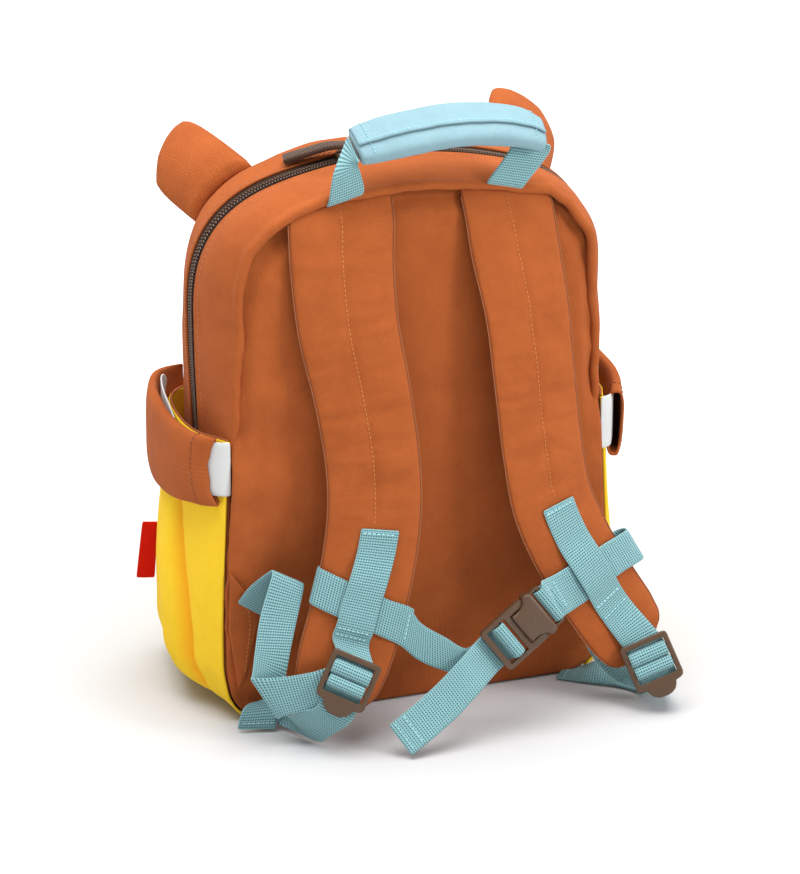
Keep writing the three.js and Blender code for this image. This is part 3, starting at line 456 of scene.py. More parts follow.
def gusset_out(u, y):
    """How far the gusset cloth stands off its plain form: a fold at the zip, creases and puckers."""
    run = u * SEAM_LENGTH
    from_back, from_front = max(0, y - BACK_Y), FRONT_Y - y
    from_zip = min(abs(y - ZIP_REAR_Y), abs(y - ZIP_FRONT_Y))
    out = crumple((run, y * 0.6, 3), 30, 1.9) * min(1, from_front / 8, from_zip / 8)
    out += math.exp(-min(from_back, from_front) / 8) * crumple((run * 2.2, y, 11), 22, 1.2)
    out -= 4.2 * max(0, 1 - from_front / SEAM_ROLL) ** 2.5
    return out + 0.7 * math.exp(-((from_zip - 0.6) / ZIP_FOLD) ** 2)


def rear_gusset_place(s, t):
    """The rear strip from the back seam (0), where it rolls over the panel's edge, to the zip (1)."""
    u = ZIP_END + (1 - 2 * ZIP_END) * s
    x, z = seam_at(u)
    hang = SEAM_HANG + (SEAM_HANG_TOP - SEAM_HANG) * smooth_step(z, 205, 262)
    hang *= smooth_step(z, 150, 174)
    roll_y = BACK_Y - hang + ROLL + crumple((u * SEAM_LENGTH, 2, 4), 24, 1.5)
    flat = ZIP_REAR_Y - 0.2 - roll_y
    distance = (1 - t) * (flat + ROLL * ROLL_TURN)
    y = ZIP_REAR_Y - 0.2 - min(distance, flat)
    turn = max(0, distance - flat) / ROLL
    out = gusset_out(u, y) + np.interp(x, RIM_PLACE, RIM_RISE) * (1 - smooth_step(y - roll_y, 4, 34))
    return bag_point(u, y - ROLL * math.sin(turn), out - ROLL * (1 - math.cos(turn)))


def front_gusset_place(s, t):
    u = ZIP_END + (1 - 2 * ZIP_END) * s
    y = ZIP_FRONT_Y + 0.2 + (FRONT_Y - ZIP_FRONT_Y - 0.5) * t
    return bag_point(u, y, gusset_out(u, y))


for name, place, rows, depth in (("rear", rear_gusset_place, 40, 42), ("front", front_gusset_place, 26, 33)):
    sheet(
        f"gusset_{name}_cloth", 260, rows, place, (ARCH_LENGTH, depth), (0, -6, 150), 1.3,
        brown_cloth, "brown_cloth", f"gusset_{name}",
    )

for side, start, end in (("left", 0, ZIP_END), ("right", 1, 1 - ZIP_END)):
    def side_place(s, t, start=start, end=end):
        u = start + (end - start) * s
        y = BACK_Y + 0.4 + (FRONT_Y - BACK_Y - 0.8) * t
        slack = crumple((u * SEAM_LENGTH, y, 7), 24, 0.9) * math.sin(math.pi * t) * smooth_step(s, 0.02, 0.16)
        return bag_point(u, y, slack)

    sheet(
        f"side_panel_{side}_cloth", 40, 24, side_place, (150, 74), (0, -6, 80), 1.6,
        brown_cloth, "brown_cloth", f"side_panel_{side}",
    )

# Zip: dark brown tape sewn under the two folds, with a nylon coil on each side that meets in the middle.
# The coils are many small loops; they are one mesh of copies of one loop.
ZIP_MIDDLE = (ZIP_REAR_Y + ZIP_FRONT_Y) / 2
COIL_PITCH = 1.5


def plain_material(name, colour, roughness, grain=0.0, sheen=0.0):
    """Even colour with a fine grain: moulded plastic, thread and coil."""
    material, shader, link = new_material(name, {"Roughness": roughness, "Sheen Weight": sheen})
    coordinates = add_node(material, "TexCoord")
    speckle = add_node(material, "TexNoise", {"Scale": 900, "Detail": 3})
    link(coordinates.outputs["Object"], speckle.inputs["Vector"])
    dark, light = ((*[min(1, c * share) for c in colour], 1) for share in (0.8, 1.2))
    paint = colour_mix(material, speckle.outputs["Fac"], {"A": dark, "B": light})
    link(paint.outputs["Result"], shader.inputs["Base Color"])
    relief = add_node(material, "Bump", {"Strength": grain, "Distance": 0.0003})
    link(speckle.outputs["Fac"], relief.inputs["Height"])
    link(relief.outputs["Normal"], shader.inputs["Normal"])
    return material


def small_bead(length, width, height):
    """Points and faces of a small rounded bead along X, in millimetres, from a sphere."""
    bpy.ops.object.select_all(action="DESELECT")
    bpy.ops.mesh.primitive_uv_sphere_add(segments=6, ring_count=5, radius=0.5, rotation=(0, math.pi / 2, 0))
    bead = bpy.context.object
    bpy.ops.object.transform_apply(location=True, rotation=True, scale=True)
    points = np.array([v.co for v in bead.data.vertices]) * (length, width, height)
    faces = [list(f.vertices) for f in bead.data.polygons]
    bpy.data.objects.remove(bead)
    return points, faces


def copies_of(name, bead, frames):
    """One mesh of a small bead copied into frames (place, direction along it, direction out), in mm."""
    points, faces = bead
    corners, rings = [], []
    for place, along, out in frames:
        along, out = Vector(along).normalized(), Vector(out)
        out = (out - along * out.dot(along)).normalized()
        axes = np.array([along, out.cross(along), out])
        rings += [[k + len(corners) * len(points) for k in face] for face in faces]
        corners.append(points @ axes + np.array(place))
    mesh = bpy.data.meshes.new(name)
    mesh.from_pydata((np.vstack(corners) * MM).tolist(), [], rings)
    piece = bpy.data.objects.new(name, mesh)
    bpy.context.scene.collection.objects.link(piece)
    return piece


zip_cloth = woven_cloth("zip_tape_cloth", (0.055, 0.027, 0.016), (0.032, 0.016, 0.01), thread=0.8)
zip_nylon = plain_material("zip_coil_nylon", (0.09, 0.05, 0.03), 0.45, grain=0.1)


def zip_place(s, t):
    y = ZIP_REAR_Y - 1.2 + (ZIP_FRONT_Y - ZIP_REAR_Y + 2.4) * t
    return bag_point(ZIP_END + (1 - 2 * ZIP_END) * s, y, -0.6)


sheet(
    "zip_tape_strip", 180, 6, zip_place, (ARCH_LENGTH, 9), (0, ZIP_MIDDLE, 150), 0.8,
    zip_cloth, "zip_tape", "zipper_tape",
)

coil_frames = []
for row, lean in ((-1.25, 0.35), (1.25, -0.35)):
    for k in range(int(ARCH_LENGTH / COIL_PITCH)):
        u = ZIP_END + (k + 0.5 + row / 5) * COIL_PITCH / SEAM_LENGTH
        place = bag_point(u, ZIP_MIDDLE + row, -0.1)
        ahead = bag_point(u + 0.001, ZIP_MIDDLE + row, -0.1) - place
        out = bag_point(u, ZIP_MIDDLE + row, 0.9) - place
        coil_frames.append((place, Vector((0, 1, 0)) + lean * ahead.normalized(), out))
zip_coil = copies_of("zip_coil", small_bead(3.0, 1.15, 1.3), coil_frames)
dress(zip_coil, zip_nylon, "zip_tape")

# Topstitching along the zip: a row of brown stitches through each folded edge of the gusset. All of
# them are one mesh of copies of one small bead.
ZIP_TO_STITCHES = 3.4
STITCH = {"length": 2.3, "gap": 1.1, "width": 0.55, "height": 0.5}


def line_of(points):
    """A polyline with its running length."""
    line = np.array([tuple(p) for p in points])
    return line, running(line)


def stitch_frames(points, outs, length=STITCH["length"], gap=STITCH["gap"]):
    """Frames of a row of stitches along points in millimetres; outs are the cloth's facing there."""
    line, run = line_of(points)
    facing = np.array([tuple(o) for o in outs])
    frames = []
    for middle in np.arange(length / 2, run[-1] - length / 2, length + gap):
        before, after = (along_line(middle + step, run, line) for step in (-0.5, 0.5))
        frames.append(((before + after) / 2, after - before, along_line(middle, run, facing)))
    return frames


stitch_bead = small_bead(STITCH["length"], STITCH["width"], STITCH["height"])
brown_thread = plain_material("brown_thread", (0.42, 0.13, 0.045), 0.6, sheen=0.2)
gusset_rows = []
for y in (ZIP_REAR_Y - ZIP_TO_STITCHES, ZIP_FRONT_Y + ZIP_TO_STITCHES):
    shares = np.linspace(ZIP_END, 1 - ZIP_END, 400)
    points = [bag_point(u, y, gusset_out(u, y) + 0.15) for u in shares]
    outs = [bag_point(u, y, 10) - bag_point(u, y, 9) for u in shares]
    gusset_rows += stitch_frames(points, outs)
dress(copies_of("gusset_stitching", stitch_bead, gusset_rows), brown_thread, "brown_cloth")

# Pockets: yellow woven cloth round the lower bag, open above with a folded hem. Each side pocket has a
# slanted pleat that leans forward as it rises, with the cloth tucked in along its front.
POCKET_TOP_Z = 165
POCKET_LOW_Z = 1.7
HEM_DROP = 7.5
HEM_SAG = 2.5
POCKET_SEAT_Y = 34.8
POCKET_PLAN_Y = [-44.9, -37, -26, -8, 14, 34, 48, 56]
POCKET_PLAN_OUT = [2.3, 7, 12, 16, 16, 13, 7, -2]
POCKET_FRONT = [(-82, 61), (-42, 64), (0, 65)]
# Height, share the sides stand out there and their least, front's step forward, and tuck under the bag
POCKET_ROWS = [
    {"z": POCKET_TOP_Z, "side": 0.76, "least": 2.3, "front": -3, "tuck": 0},
    {"z": 140, "side": 0.92, "least": 2.3, "front": 0, "tuck": 0},
    {"z": 108, "side": 0.97, "least": 2.3, "front": 3, "tuck": 0},
    {"z": 74, "side": 1.06, "least": 2.3, "front": 7, "tuck": 0},
    {"z": 44, "side": 1.04, "least": 2.3, "front": 10, "tuck": 0},
    {"z": 24, "side": 0.98, "least": 2.6, "front": 11, "tuck": 0},
    {"z": 11, "side": 0.78, "least": 3.6, "front": 9, "tuck": 0},
    {"z": 4, "side": 0.4, "least": 4.8, "front": 4, "tuck": 0.1},
    {"z": POCKET_LOW_Z, "side": 0.2, "least": 6.4, "front": 0, "tuck": 1},
]
POCKET_CORNER = 0.262
# The pleat's line: depth at which it lies at each height
PLEAT_HEIGHT = [5, 18, 30, 48, 67, 87, 104, 113, 140]
PLEAT_DEPTH = [-31, -28, -24, -23, -20, -14, -8.5, -6.5, 2]
# In front of that line the cloth lies back in a tuck and rises to a swell; behind it, it is pulled in
PLEAT_TUCK = {"depth": 11.25, "from": -6, "to": 17}
PLEAT_SWELL = {"height": 3, "at": 25, "reach": 10}
PLEAT_PULL = {"depth": 2, "reach": 14}
# Strength of the shade painted into the pleat's tuck
PLEAT_PAINTED_SHADE = 0.8
# Columns of the grid that crowd at the pleat, as shares of the pocket's width, and their reach there
PLEAT_COLUMNS = [0, 0.25, 0.28, 0.31, 1]
PLEAT_REACH = 0.014
POCKET_CROWDING = 1.15
SIDE_FROM_X = (96, 106)
# Yellow cloth, painted towards orange where the attribute fold marks the pleat's tuck: painted shade.
yellow_cloth = woven_cloth(
    "yellow_cloth", (0.93, 0.645, 0.032), (0.86, 0.53, 0.02), painted_fold_shade=(0.9, 0.36, 0.01),
)


def through(points):
    """A smooth line through points, with tighter turns where they lie close together."""
    p = np.array([tuple(q) for q in points], float)
    p = np.vstack([2 * p[0] - p[1], p, 2 * p[-1] - p[-2]])
    line = []
    for a, b, c, d in zip(p, p[1:], p[2:], p[3:]):
        before, span, after = (max(np.linalg.norm(n - m), 1e-6) ** 0.5 for m, n in ((a, b), (b, c), (c, d)))
        leave = ((b - a) / before - (c - a) / (before + span) + (c - b) / span) * span
        reach = ((c - b) / span - (d - b) / (span + after) + (d - c) / after) * span
        for w in np.linspace(0, 1, ROW_STEPS, endpoint=False):
            line.append(b * (1 + 2 * w) * (1 - w) ** 2 + leave * w * (1 - w) ** 2
                        + c * w * w * (3 - 2 * w) + reach * w * w * (w - 1))
    line.append(p[-2])
    return np.array(line)


def pocket_line(row):
    """The pocket's level line at one height, from the left back seam round the front to the right."""
    half = -seam_at(share_at(row["z"]))[0]

    def tucked(y):
        forward = y + row["front"] * smooth_step(y, 25, 58)
        return forward + (POCKET_SEAT_Y - forward) * row["tuck"] if forward > POCKET_SEAT_Y else forward

    left = []
    for y, out in zip(POCKET_PLAN_Y, POCKET_PLAN_OUT):
        stands = out * row["side"] if y > 50 else max(0 if y < -40 else out * row["side"], row["least"])
        left.append((-half - stands, tucked(y), row["z"]))
    left += [(x, tucked(y), row["z"]) for x, y in POCKET_FRONT]
    line, run = line_of(through(left + [(-x, y, z) for x, y, z in left[-2::-1]]))
    return line, run / run[-1]


pocket_lines = [pocket_line(row) for row in POCKET_ROWS]
pocket_heights = [row["z"] for row in POCKET_ROWS][::-1]
pocket_columns = {}


def pocket_level(s, t):
    """The smooth pocket at a share round the bag, from the hem (0) to the base (1), and its reach past
    the pleat's line."""
    top = POCKET_TOP_Z - HEM_DROP - HEM_SAG * smooth_step(min(s, 1 - s), 0, 0.09)
    z = top + (POCKET_LOW_Z - top) * t ** POCKET_CROWDING
    key = round(s, 6)
    if key not in pocket_columns:
        pocket_columns[key] = [
            eased(pocket_heights, [np.interp(s, share, line[:, k]) for line, share in pocket_lines[::-1]])
            for k in (0, 1)
        ]
    x, y = (np.interp(z, *column) for column in pocket_columns[key])
    return x, y, z, y - np.interp(z, PLEAT_HEIGHT, PLEAT_DEPTH)


def pleat_fade(x, z):
    """The pleat runs out towards the base, the hem and the front of the pocket."""
    return smooth_step(z, 4, 22) * (1 - smooth_step(z, 108, 140)) * smooth_step(abs(x), *SIDE_FROM_X)


def painted_tuck_shade(place):
    """Painted shade in the pleat's tuck, as a warmer darker tone: 1 at its edge, 0 on the open pocket."""
    past_fold = place.y - np.interp(place.z, PLEAT_HEIGHT, PLEAT_DEPTH)
    tone = 1 - smooth_step(past_fold, 5, 15) if past_fold > 0 else 0.3 * math.exp(past_fold / 1.5)
    return PLEAT_PAINTED_SHADE * tone * pleat_fade(place.x, place.z)


def pocket_place(s, t):
    """Outer face of the pocket cloth, with its pleat and slack."""
    x, y, z, past_fold = pocket_level(s, t)
    side = smooth_step(abs(x), *SIDE_FROM_X)
    if past_fold > 0:
        dent = PLEAT_TUCK["depth"] * (1 - smooth_step(past_fold, PLEAT_TUCK["from"], PLEAT_TUCK["to"]))
        past_swell = (past_fold - PLEAT_SWELL["at"]) / PLEAT_SWELL["reach"]
        dent -= PLEAT_SWELL["height"] * math.exp(-(past_swell ** 2))
    else:
        dent = PLEAT_PULL["depth"] * math.exp(past_fold / PLEAT_PULL["reach"])
    sag = crumple((y * 0.9, x * 0.4, z * 0.55 + 90), 22, 1.6)
    sag *= smooth_step(z, 3, 26) * smooth_step(POCKET_TOP_Z - z, 3, 30)
    back_edge = smooth_step(y, -41, -34)
    x -= math.copysign(1, x) * (dent * pleat_fade(x, z) + side * sag * back_edge)
    if abs(x) < 100:
        y += crumple((x * 0.6, 3, z * 0.7), 26, 1.8) * (1 - side) * smooth_step(z, 6, 30)
    return Vector((x, y, z))


pleat_shares = {}


def pleated(s, t):
    """Share of a side pocket's width from its back seam, with grid columns that follow the pleat."""
    key = round(t, 5)
    if key not in pleat_shares:
        shares = np.linspace(0, 1, 60)
        past_fold = [pocket_level(POCKET_CORNER * share, t)[3] for share in shares]
        pleat_shares[key] = np.interp(0, past_fold, shares)
    fold = pleat_shares[key]
    return np.interp(s, PLEAT_COLUMNS, [0, fold - PLEAT_REACH, fold, fold + PLEAT_REACH, 1])


def even(s, t):
    return s


def pocket_piece(node, start, end, columns, inside, width, length, across=even):
    """One pocket, and the cut it is sewn from: width and length in millimetres."""
    pocket = cloth_grid(
        f"{node}_cloth", columns, 84, lambda s, t: pocket_place(start + (end - start) * across(s, t), t),
        (width, length),
    )
    for corner in pocket.data.uv_layers.active.data:
        s, t = corner.uv[0] / (width * MM), corner.uv[1] / (length * MM)
        corner.uv[0] = across(s, t) * width * MM
    # Painted shade: each point's share of the darker tone in the pleat's tuck, kept in the attribute fold.
    fold = pocket.data.attributes.new("fold", "FLOAT", "POINT")
    for vertex, mark in zip(pocket.data.vertices, fold.data):
        mark.value = painted_tuck_shade(vertex.co / MM)
    face_away(pocket, inside)
    thicken(pocket, 1.4)
    dress(pocket, yellow_cloth, "yellow_cloth", node)


def fine_tube(name, points, radius):
    """A thin round edge or thread along points in millimetres."""
    data = bpy.data.curves.new(name, "CURVE")
    data.dimensions = "3D"
    data.bevel_depth = radius * MM
    data.bevel_resolution = 1
    spline = data.splines.new("POLY")
    spline.points.add(len(points) - 1)
    for corner, point in zip(spline.points, points):
        corner.co = (*(Vector(point) * MM), 1)
    piece = bpy.data.objects.new(name, data)
    bpy.context.scene.collection.objects.link(piece)
    select_only(piece)
    bpy.ops.object.convert(target="MESH")
    return bpy.context.object


CORNER_GAP = 0.0008
front_from = POCKET_CORNER + CORNER_GAP
pocket_piece("pocket_left", 0, POCKET_CORNER, 110, (-60, -6, 80), 128, 184, pleated)
pocket_piece("pocket_front", front_from, 1 - front_from, 96, (0, 0, 80), 212, 195)
pocket_piece("pocket_right", 1, 1 - POCKET_CORNER, 110, (60, -6, 80), 128, 184, pleated)

hem_binding = plain_material("hem_binding", (0.3, 0.07, 0.015), 0.8)
for side, start, end in (("left", 0.003, POCKET_CORNER), ("right", 1 - POCKET_CORNER, 0.997)):
    hem = [pocket_place(s, 0) for s in np.linspace(start, end, 70)]
    hem = [q + Vector((math.copysign(1.2, -q.x), 0, 0.2)) for q in hem]
    dress(fine_tube(f"pocket_{side}_binding", hem, 0.7), hem_binding, "brown_cloth")

# Ears: two layers of the brown cloth, turned and lightly stuffed, sewn into the front seam at the
# shoulders of the arch, so that they lean forward.
EAR_LOW = share_at(252)
EAR_HIGH = share_at(274)
EAR_HEIGHT = 45
EAR_SEAT = -1.5
EAR_Y = 27
EAR_LEAN = math.radians(60)
EAR_STUFFING = 5.8
# The ear's outline: share of its height from the lower end of its seam (-1) to the upper one (1)
EAR_SPREAD = [-1, -0.98, -0.93, -0.85, -0.35, 0.09, 0.4, 0.66, 0.79, 0.88, 0.95, 1]
EAR_SHARE = {
    "left": [0.08, 0.36, 0.55, 0.67, 0.84, 0.94, 0.99, 1, 0.94, 0.77, 0.46, 0.08],
    "right": [0.08, 0.46, 0.7, 0.86, 1, 0.98, 0.95, 0.9, 0.84, 0.7, 0.44, 0.08],
}
EAR_SHIFT = {"left": (-6.5, -0.5), "right": (3, 4)}


def mend(weld=None, fill=False):
    """Welds the active mesh, fills its open ends if asked to, and turns its faces outwards."""
    bpy.ops.object.mode_set(mode="EDIT")
    bpy.ops.mesh.select_all(action="SELECT")
    if weld:
        bpy.ops.mesh.remove_doubles(threshold=weld)
    if fill:
        bpy.ops.mesh.select_all(action="DESELECT")
        bpy.ops.mesh.select_non_manifold()
        bpy.ops.mesh.edge_face_add()
        bpy.ops.mesh.select_all(action="SELECT")
    bpy.ops.mesh.normals_make_consistent(inside=False)
    bpy.ops.object.mode_set(mode="OBJECT")


def pad(name, columns, rows, front, back, size, held):
    """A closed pad of two sheets of cloth that meet in a seam all round."""
    face = cloth_grid(name, columns, rows, front, size, held)
    lining = cloth_grid(name + "_lining", columns, rows, back, size, held)
    select_only(lining, face)
    bpy.ops.object.join()
    mend(weld=0.00005)
    return face


def puff(piece, pressure, cap, last_frame=14):
    """Swells a closed pad between its held seams by cloth simulation, no further than cap millimetres."""
    rest = [vertex.co.copy() for vertex in piece.data.vertices]
    swell = piece.modifiers.new("swell", "CLOTH")
    swell.settings.quality = 5
    swell.settings.mass = 0.15
    swell.settings.vertex_group_mass = "seams"
    swell.settings.use_pressure = True
    swell.settings.uniform_pressure_force = pressure
    swell.settings.effector_weights.gravity = 0
    swell.point_cache.frame_start = 1
    swell.point_cache.frame_end = last_frame
    for number in range(1, last_frame + 1):
        bpy.context.scene.frame_set(number)
    apply_all(piece)
    bpy.context.scene.frame_set(1)
    for vertex, start in zip(piece.data.vertices, rest):
        move = vertex.co - start
        vertex.co = start + move * min(1, cap * MM / max(move.length, 1e-9))
    piece.vertex_groups.clear()


def rim_held(s, t):
    return min(s, 1 - s, t, 1 - t) < 0.001


for side, mirror, straight in (("left", 1, 0.8), ("right", -1, 0)):
    middle = (EAR_LOW + EAR_HIGH) / 2 if mirror > 0 else 1 - (EAR_LOW + EAR_HIGH) / 2
    middle_out = bag_point(middle, EAR_Y, 1) - bag_point(middle, EAR_Y)

    def ear_face(sign, mirror=mirror, middle_out=middle_out, straight=straight, side=side):
        outline, shift = EAR_SHARE[side], EAR_SHIFT[side]

        def place(s, t):
            spread = math.sin(math.pi * (s - 0.5))
            share = EAR_LOW + (EAR_HIGH - EAR_LOW) * (spread + 1) / 2
            u = share if mirror > 0 else 1 - share
            height = EAR_HEIGHT * np.interp(spread, EAR_SPREAD, outline) * t
            full = (max(0, 1 - abs(spread) ** 3) * max(0, 1 - t ** 4)) ** 0.5
            plump = EAR_STUFFING * full * min(1, t / 0.12) ** 0.5
            plump += crumple((s * 30, t * 42, mirror * 9 + sign), 12, 0.9) * full * min(1, t / 0.12)
            lift = EAR_SEAT + 3 * t + height * math.cos(EAR_LEAN) - sign * plump * math.sin(EAR_LEAN)
            y = EAR_Y + height * math.sin(EAR_LEAN) + sign * plump * math.cos(EAR_LEAN)
            base = bag_point(u, EAR_Y)
            out = bag_point(u, EAR_Y, 1) - base
            point = base + out.lerp(middle_out, min(1, 3 * t) * straight) * lift
            upright = height / EAR_HEIGHT
            return Vector((point.x + shift[0] * upright, y, point.z + shift[1] * upright))
        return place

    ear = pad(f"ear_{side}_stuffed", 36, 32, ear_face(-1), ear_face(1), (40, 44), rim_held)
    puff(ear, 3, 1.2)
    dress(ear, brown_cloth, "brown_cloth", f"ear_{side}")

# Shoulder straps: brown cloth over foam, sewn into the back seam, with a turned edge, a row of stitches
# down the middle and rounded lower ends. They stand off the bag in a bow.
STRAP_HALF_THICK = 4
STRAP_SLACK = 0.84
# Each strap's middle line in x, y and z, its width, turn to the side in degrees and slant of its end
STRAPS = {
    "left": [
        (-43.8, -44.4, 280.6, 55, -4, 0.185),
        (-43.8, -47.2, 276, 55, -4, 0.185),
        (-44.4, -51.4, 267.5, 54.5, -6, 0.12),
        (-45.6, -55.5, 251, 53, -8, 0.04),
        (-45, -63, 218, 51, -12, 0),
        (-40, -69, 185, 49, -14, 0),
        (-36, -73.5, 150, 48, -14, 0),
        (-36, -76.5, 123, 48, -14, 0),
        (-40.5, -79.5, 95, 48, -14, 0),
        (-47, -82, 72, 48, -14, 0),
        (-55, -84.5, 48, 48, -14, 0),
        (-60.5, -86, 33, 44, -14, 0),
        (-63, -86.8, 26, 36, -14, 0),
        (-64.5, -87.2, 22, 20, -14, 0),
    ],
    "right": [
        (46.4, -44.4, 279.6, 49, 4, -0.15),
        (46.6, -47.2, 275.3, 49.5, 4, -0.15),
        (47.4, -51.4, 266, 50, 5, -0.1),
        (49, -55.5, 249, 50.5, 6, -0.05),
        (53, -63, 218, 49, 8, 0),
        (55.5, -69, 180, 48, 9, 0),
        (58.5, -74, 143, 48, 10, 0),
        (63, -77.5, 115, 48, 10, 0),
        (74, -81, 88, 48, 10, 0),
        (88, -84, 63, 47, 10, 0),
        (101, -86, 43, 46, 10, 0),
        (107, -87, 35, 42, 10, 0),
        (110.5, -87.3, 30.5, 34, 10, 0),
        (112.5, -87.5, 28, 20, 10, 0),
    ],
}
STRAP_STITCHED_TO = {"left": 116, "right": 118}
# The groove that the middle stitches draw, as shares of the strap's half thickness and half width
STRAP_GROOVE = 0.22
STRAP_GROOVE_HALF = 2.2 / 24


def unit_rows(rows):
    return rows / np.linalg.norm(rows, axis=1)[:, None]


def route(rows):
    """Frames along a smooth route of (place, direction across) rows: line, heading, across, length run."""
    line = through([place for place, across in rows])
    along = unit_rows(np.gradient(line, axis=0))
    turns = np.array([tuple(across) for place, across in rows])
    across = along_line(np.arange(len(line)) / ROW_STEPS, np.arange(len(rows)), turns).T
    across = unit_rows(across - along * (across * along).sum(axis=1)[:, None])
    run = running(line)
    return {"line": line, "along": along, "across": across, "run": run, "length": run[-1]}


def by_rows(path, values):
    """A column of a route's table, at each point of its smooth line."""
    return np.interp(np.arange(len(path["run"])) / ROW_STEPS, np.arange(len(values)), values)


def route_at(path, distance):
    """Place, heading, across and facing at a distance along a route."""
    centre, along, across = (
        Vector(along_line(distance, path["run"], path[key])) for key in ("line", "along", "across")
    )
    return centre, along.normalized(), across.normalized(), along.cross(across).normalized()


strap_paths = {}
for side, rows in STRAPS.items():
    turns = [(math.cos(math.radians(r[4])), math.sin(math.radians(r[4])), 0) for r in rows]
    path = route([(r[:3], turn) for r, turn in zip(rows, turns)])
    path["half"] = through([(10 * k, r[3]) for k, r in enumerate(rows)])[:, 1] / 2
    path["slant"] = by_rows(path, [r[5] for r in rows])
    strap_paths[side] = path


def strap_point(side, q, distance, out_share):
    """Place on a strap: q from edge to edge, distance down it, share of its half thickness outwards."""
    path = strap_paths[side]
    centre, along, across, out = route_at(path, distance)
    half = np.interp(distance, path["run"], path["half"])
    slant = np.interp(distance, path["run"], path["slant"])
    thick = STRAP_HALF_THICK * min(1, 0.45 + half / 40)
    return centre + (across - along * slant) * (q * half) + out * (thick * out_share)


def strap_swell(side, sign, q, distance):
    """Share of the half thickness at a place on a strap, with its creases and its stitched middle."""
    path = strap_paths[side]
    ends = min(1, 0.3 + distance / 45, (distance / 2) ** 0.5, ((path["length"] - distance) / 9) ** 0.5)
    body = (max(0, 1 - abs(q) ** 3)) ** 0.5 * ends
    crease = crumple((q * 9, distance, sign * 7 + path["line"][0][0]), 12, 0.42)
    crease += crumple((q * 5, distance * 1.8, sign * 5), 9, 0.36) * (0.3 + 0.7 * abs(q))
    z = np.interp(distance, path["run"], path["line"][:, 2])
    stitched = smooth_step(z, STRAP_STITCHED_TO[side], STRAP_STITCHED_TO[side] + 6)
    groove = STRAP_GROOVE * math.exp(-(q / STRAP_GROOVE_HALF) ** 2) * stitched
    return body * (0.97 - max(0, sign) * groove) + body * crease * (0.35 + 0.65 * stitched) - 0.1 * body


FINE_STITCH = 1.7
fine_stitch = small_bead(1.9, 0.6, 0.55)
tan_thread = plain_material("tan_edge_thread", (0.3, 0.092, 0.028), 0.7)
orange_thread = plain_material("orange_thread", (0.54, 0.18, 0.045), 0.6)


def fine_row(name, row, outs, gap, thread):
    """A row of fine stitches on brown cloth along places in millimetres."""
    stitches = copies_of(name, fine_stitch, stitch_frames(row, outs, FINE_STITCH, gap))
    dress(stitches, thread, "brown_cloth")


for side, path in strap_paths.items():
    def strap_face(sign, side=side, path=path):
        def place(s, t):
            q, distance = 2 * s - 1, t * path["length"]
            return strap_point(side, q, distance, sign * STRAP_SLACK * strap_swell(side, sign, q, distance))
        return place

    cut_size = (50, path["length"])
    strap = pad(f"shoulder_strap_{side}_pad", 40, 190, strap_face(1), strap_face(-1), cut_size, rim_held)
    puff(strap, 4, 0.9)
    dress(strap, brown_cloth, "brown_cloth", f"shoulder_strap_{side}")

    downs = np.linspace(6, path["length"], 160)
    rim = [strap_point(side, -1.01, d, 0) for d in downs]
    rim += [strap_point(side, q, path["length"] + 0.2, 0) for q in np.linspace(-0.9, 0.9, 12)]
    rim += [strap_point(side, 1.01, d, 0) for d in downs[::-1]]
    dress(fine_tube(f"shoulder_strap_{side}_edge", rim, 0.34), tan_thread, "brown_cloth")

    sewn_to = np.interp(-STRAP_STITCHED_TO[side], -path["line"][:, 2], path["run"])
    downs = np.linspace(6, sewn_to, 120)
    row = [strap_point(side, 0, d, strap_swell(side, 1, 0, d)) for d in downs]
    outs = [route_at(path, d)[3] for d in downs]
    row = [strap.closest_point_on_mesh(p * MM)[1] / MM + out * 0.2 for p, out in zip(row, outs)]
    fine_row(f"shoulder_strap_{side}_stitches", row, outs, 0.8, orange_thread)

# Ladder locks: moulded brown frames with three windows and a lip to lift them by. The strap webbing is
# sewn round the first bar; the lower webbing runs round the second.
WEBBING = 20
WEBBING_THICK = 1.2
LOCK_THICK = 3
LOCK_WINDOWS = [(3, 7.2), (9.8, 15.2), (17.8, 22.4)]
WINDOW_HALF = 10.7
# Right half of the outline, across and along
LOCK_OUTLINE = [
    (11.5, 0), (13.1, 0.5), (13.5, 2), (13.5, 23.4), (12.8, 25.4), (10.8, 26.4), (8.2, 26.8), (7.6, 28.6),
    (6.2, 30.8), (3.6, 32.2), (1.2, 32.6),
]
brown_plastic = plain_material("brown_plastic", (0.082, 0.043, 0.021), 0.4, grain=0.12)


def mould_frame(origin, down, across):
    """A moulding's own frame: place of its upper edge, direction down its length, across and out."""
    down = Vector(down).normalized()
    across = Vector(across)
    across = (across - down * across.dot(down)).normalized()
    return {"origin": Vector(origin), "down": down, "across": across, "out": down.cross(across)}


def mould_row(frame, along, height):
    return frame["origin"] + frame["down"] * along + frame["out"] * height, frame["across"]


